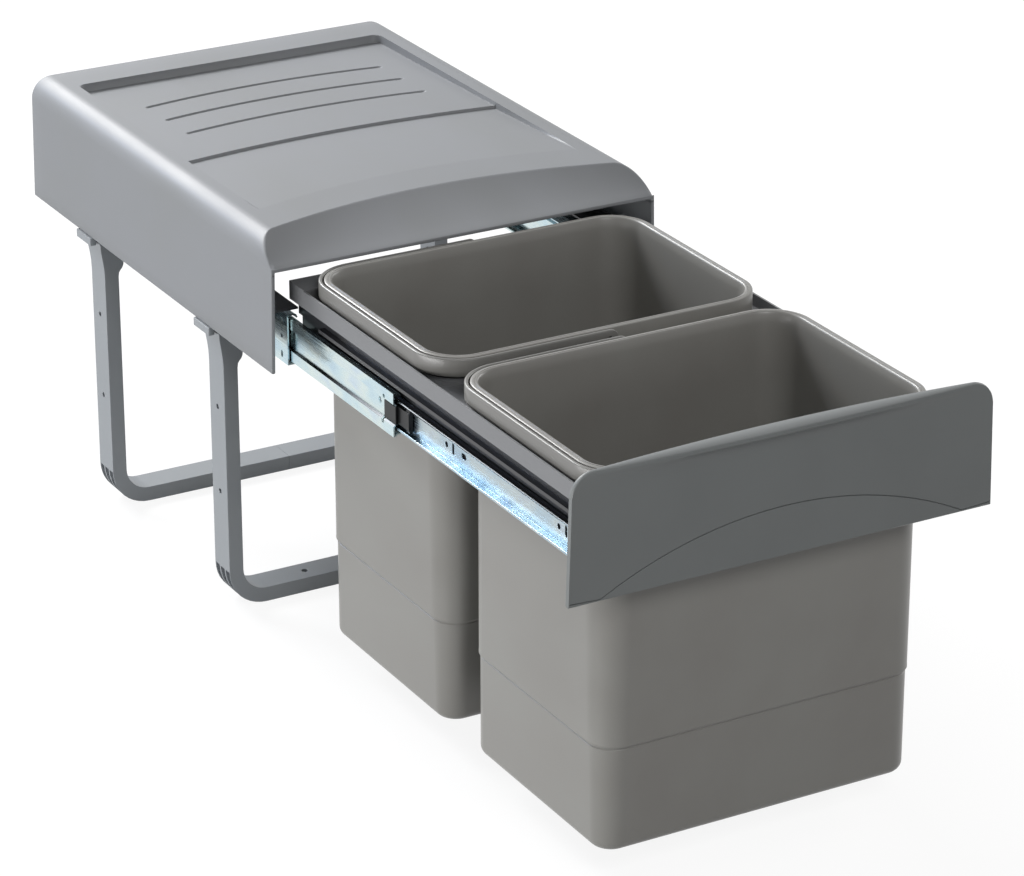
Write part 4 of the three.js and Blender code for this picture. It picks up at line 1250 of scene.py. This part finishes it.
@dataclass
class Telescope:
    """The three-part ball slides on both sides, with their guides, buffers and screws."""

    cages: tuple[BallCage, ...] = (
        BallCage("outer", web=1.65, edge=7.0, height=17.6, ball_offset=5.7, ball_radius=1.4,
                 balls=10),
        BallCage("inner", web=3.75, edge=8.0, height=13.0, ball_offset=6.6, ball_radius=1.35,
                 pressed=((3.75, 9.7), (5.8, 8.5))),
    )
    centre: float = 259.0
    outer_face: float = 146.2
    raceway: float = 9.6
    fold: tuple[float, float] = (-9.6, -7.0)
    groove_shade: tuple[float, float] = (-10.4, -9.7)
    catch_depth: tuple[float, float] = (3.4, 5.2)
    catch_run: tuple[float, float] = (-149.0, -131.5)
    catch_half_height: float = 6.8

    def wear_and_shade(self, kind: str, face: bpy.types.MeshPolygon) -> int:
        """Which of a member's three finishes a face has.

        Args:
            kind: cabinet, middle or drawer.
            face: a face of that member.

        Returns:
            0 plated, 1 painted shade (a dark reflection in the upper raceway, shadow on the middle
            member's fold), 2 painted shade in the lower groove.
        """
        height = face.center.z / MM - self.centre
        # painted shade: dark upper raceway, darker lower groove, dark fold on the middle member
        if kind == "drawer" and height > self.raceway:
            return 1
        if kind == "drawer" and self.groove_shade[0] < height < self.groove_shade[1] and face.normal.z > 0.5:
            return 2
        in_fold = self.fold[0] < height < self.fold[1]
        return int(kind == "middle" and in_fold and face.normal.z > 0.3)

    def catch(self, side: str) -> Object:
        """The guide's catch, seen through the window in the middle member.

        Args:
            side: left or right.

        Returns:
            The catch as a linked object.
        """
        sign = -1 if side == "left" else 1
        near, far = (sign * (self.outer_face - depth) for depth in self.catch_depth)
        half, (front, back) = self.catch_half_height, self.catch_run
        rings = []
        for y, inset in ((front, 0.4), (front + 0.4, 0.0), (back - 0.4, 0.0), (back, 0.4)):
            low, high = self.centre - half + inset, self.centre + half - inset
            rings.append([(near, y, low), (near, y, high), (far, y, high), (far, y, low)])
        return loft("catch", rings)

    def build(self) -> None:
        """Refines every slide member and rebuilds the ball cages."""
        tree = ball_row_tree(Finish.BALL_STEEL)
        for side in SIDES:
            for cage in self.cages:
                cage.build(side, tree)
            for kind, body in (("cabinet", "cabinet_side"), ("middle", f"middle_{side}"),
                               ("drawer", "drawer")):
                made = refined(f"slide_{kind}_{side}", f"slide_{kind}_{side}_channel", 0.25)
                dress(made, Finish.BLUE_ZINC if kind == "drawer" else Finish.ZINC)
                # the two painted-shade finishes, given face by face
                for shade_finish in (Finish.PAINTED_SHADE_STEEL, Finish.GROOVE_SHADE_STEEL):
                    made.data.materials.append(shade_finish.material())
                for face in made.data.polygons:
                    face.material_index = self.wear_and_shade(kind, face)
                place_piece(made, body, "zinc_steel", f"slide_{kind}_{side}")
            place_refined(f"slide_buffer_{side}", "moulding", 0.5, Finish.BLACK_ACETAL,
                          "cabinet_side", "black_plastic")
            made = refined(f"slide_guide_{side}", f"slide_guide_{side}_moulding", 0.5)
            made = joined(made.name, [made, self.catch(side)])
            dress(made, Finish.BLACK_ACETAL)
            place_piece(made, f"middle_{side}", "black_plastic", f"slide_guide_{side}")
            for kind, body in (("screw", "cabinet_side"), ("drawer_screw", "drawer")):
                for end in ("front", "rear"):
                    place_refined(f"{kind}_{end}_{side}", "bright", 0.2, Finish.ZINC,
                                  body, "zinc_steel")


# ---- brackets and drawer frame ----


class Brackets:
    """The two moulded U brackets, each in two halves, and the coated caps over their heads."""

    def build(self) -> None:
        """Refines the four bracket halves and the two rail caps."""
        for side in SIDES:
            for row in ("front", "rear"):
                place_refined(f"bracket_{row}_{side}", "half", 0.8, Finish.BRACKET_POLYAMIDE,
                              "cabinet_side", "bracket_plastic")
            place_refined(f"rail_cap_{side}", "strip", 0.3, Finish.BLACK_COATING_AND_SHADE,
                          "cabinet_side", "black_steel")


@dataclass
class DrawerFrame:
    """The moulded frame that carries the bins, with black painted shade down each side channel."""

    painted_shade_top: float = 293.4

    def build(self) -> None:
        """Refines the frame and paints its side channels, below the fascias, black as painted
        shade.
        """
        made = refined("drawer_frame", "drawer_frame_moulding", 0.5)
        dress(made, Finish.FRAME_PP)
        made.data.materials.append(Finish.BLACK_COATING_AND_SHADE.material())
        # painted shade: every face below the fascias takes the black finish
        for face in made.data.polygons:
            face.material_index = int(face.center.z < self.painted_shade_top * MM)
        place_piece(made, "drawer", "frame_plastic", "drawer_frame")


# ---- studio ----


@dataclass
class Softbox:
    """One rectangular studio lamp, aimed at a point."""

    name: str
    place: Point
    aim: Point
    size: tuple[float, float]
    watts: float
    colour: str = "ffffff"

    def build(self) -> None:
        """Makes the lamp."""
        lamp = bpy.data.lights.new(self.name, "AREA")
        lamp.shape = "RECTANGLE"
        lamp.size, lamp.size_y = self.size
        lamp.energy = self.watts
        lamp.color = linear(self.colour)[:3]
        made = bpy.data.objects.new(self.name, lamp)
        made.location = self.place
        away = Vector(self.aim) - Vector(self.place)
        made.rotation_euler = away.to_track_quat("-Z", "Y").to_euler()
        bpy.context.scene.collection.objects.link(made)


@dataclass
class Studio:
    """A white sweep, soft lamps and the catalogue camera."""

    camera_place: Point = (-1.393365, -2.542536, 1.416945)
    azimuth: float = -29.3613
    elevation: float = 23.5281
    lens: float = 143.74
    floor_reach: float = 9000.0
    floor_drop: float = 0.2
    lamps: list[Softbox] = field(default_factory=lambda: [
        Softbox("low_left", (-2.2, -0.1, 0.22), (0.0, -0.1, 0.17), (2.2, 0.4), 40.0),
        Softbox("back_left", (-2.1, 2.0, 2.1), (0.0, -0.1, 0.25), (0.25, 0.25), 5.0, "a8ccff"),
        Softbox("edge_light", (-1.15, 2.62, 1.4), (-0.15, 0.2, 0.33), (0.4, 0.4), 8.0, "b4d0ff"),
        Softbox("high_back", (-0.6, 3.0, 2.4), (0.0, 0.0, 0.3), (2.2, 1.2), 203.0),
        Softbox("front_fill", (-0.5, -2.8, 2.6), (0.0, -0.2, 0.2), (1.6, 1.2), 50.0),
        Softbox("right_fill", (2.6, 0.3, 1.2), (0.0, 0.0, 0.2), (1.6, 1.2), 22.0),
    ])

    def camera(self) -> None:
        """Places the camera at the photograph's viewpoint."""
        data = bpy.data.cameras.new("catalogue_camera")
        data.sensor_width = 36.0
        data.lens = self.lens
        data.clip_start, data.clip_end = 0.05, 60.0
        made = bpy.data.objects.new("catalogue_camera", data)
        made.location = self.camera_place
        made.rotation_euler = (radians(90 - self.elevation), 0.0, radians(self.azimuth))
        bpy.context.scene.collection.objects.link(made)
        bpy.context.scene.camera = made

    def floor(self) -> None:
        """Lays the white floor, which keeps the sorter's soft shadow."""
        reach = self.floor_reach
        corners = [(x * reach, y * reach, -self.floor_drop)
                   for x, y in ((-1, -1), (1, -1), (1, 1), (-1, 1))]
        made = mesh_object("studio_floor", corners, [(0, 1, 2, 3)])
        if made.data.polygons[0].normal.z < 0:
            made.data.flip_normals()
        material = bpy.data.materials.new("matt_white_sweep")
        tree = empty_tree(material)
        seen = self.seen_by_camera(tree)
        paper = add_node(tree, "ShaderNodeBsdfDiffuse", {"Color": linear("a8a8a8")})
        white = add_node(tree, "ShaderNodeEmission", {"Color": linear("ffffff"), "Strength": 1.27})
        share = add_node(tree, "ShaderNodeMath", {"operation": "MULTIPLY", 1: 0.7}, {0: seen})
        mixed = add_node(tree, "ShaderNodeMixShader",
                         links={0: share.outputs[0], 1: paper.outputs[0], 2: white.outputs[0]})
        add_node(tree, "ShaderNodeOutputMaterial", links={"Surface": mixed.outputs[0]})
        made.data.materials.append(material)

    @staticmethod
    def seen_by_camera(tree: Tree) -> bpy.types.NodeSocket:
        """1 for what the camera sees directly, in a gloss or through a clear thing, else 0.

        Args:
            tree: the material's or the world's tree.

        Returns:
            The output socket that holds the 1 or 0.
        """
        path = add_node(tree, "ShaderNodeLightPath").outputs
        first = add_node(tree, "ShaderNodeMath", {"operation": "MAXIMUM"},
                         {0: path["Is Camera Ray"], 1: path["Is Glossy Ray"]})
        both = add_node(tree, "ShaderNodeMath", {"operation": "MAXIMUM"},
                        {0: first.outputs[0], 1: path["Is Transmission Ray"]})
        return both.outputs[0]

    def world(self) -> None:
        """A white surround that lights the sorter only faintly."""
        world = bpy.data.worlds.new("white_studio")
        bpy.context.scene.world = world
        tree = empty_tree(world)
        white = linear("ffffff")
        dim = add_node(tree, "ShaderNodeBackground", {"Color": white, "Strength": 0.15})
        bright = add_node(tree, "ShaderNodeBackground", {"Color": white, "Strength": 1.0})
        mixed = add_node(tree, "ShaderNodeMixShader",
                         links={0: self.seen_by_camera(tree), 1: dim.outputs[0],
                                2: bright.outputs[0]})
        add_node(tree, "ShaderNodeOutputWorld", links={"Surface": mixed.outputs[0]})

    def build(self) -> None:
        """Sets up the view, world, floor, lamps and camera."""
        bpy.context.scene.view_settings.view_transform = "Standard"
        self.camera()
        self.world()
        self.floor()
        for lamp in self.lamps:
            lamp.build()


def main() -> None:
    """Dresses the whole sorter."""
    logging.basicConfig(level=logging.INFO, format="%(message)s")
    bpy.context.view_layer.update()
    Studio().build()
    Hood().build()
    Brackets().build()
    Telescope().build()
    DrawerFrame().build()
    FrontPanel().build()
    for place, centre in BIN_CENTRES.items():
        container = Bin(place, centre)
        container.build_body()
        container.build_handle()


if __name__ == "__main__":
    main()
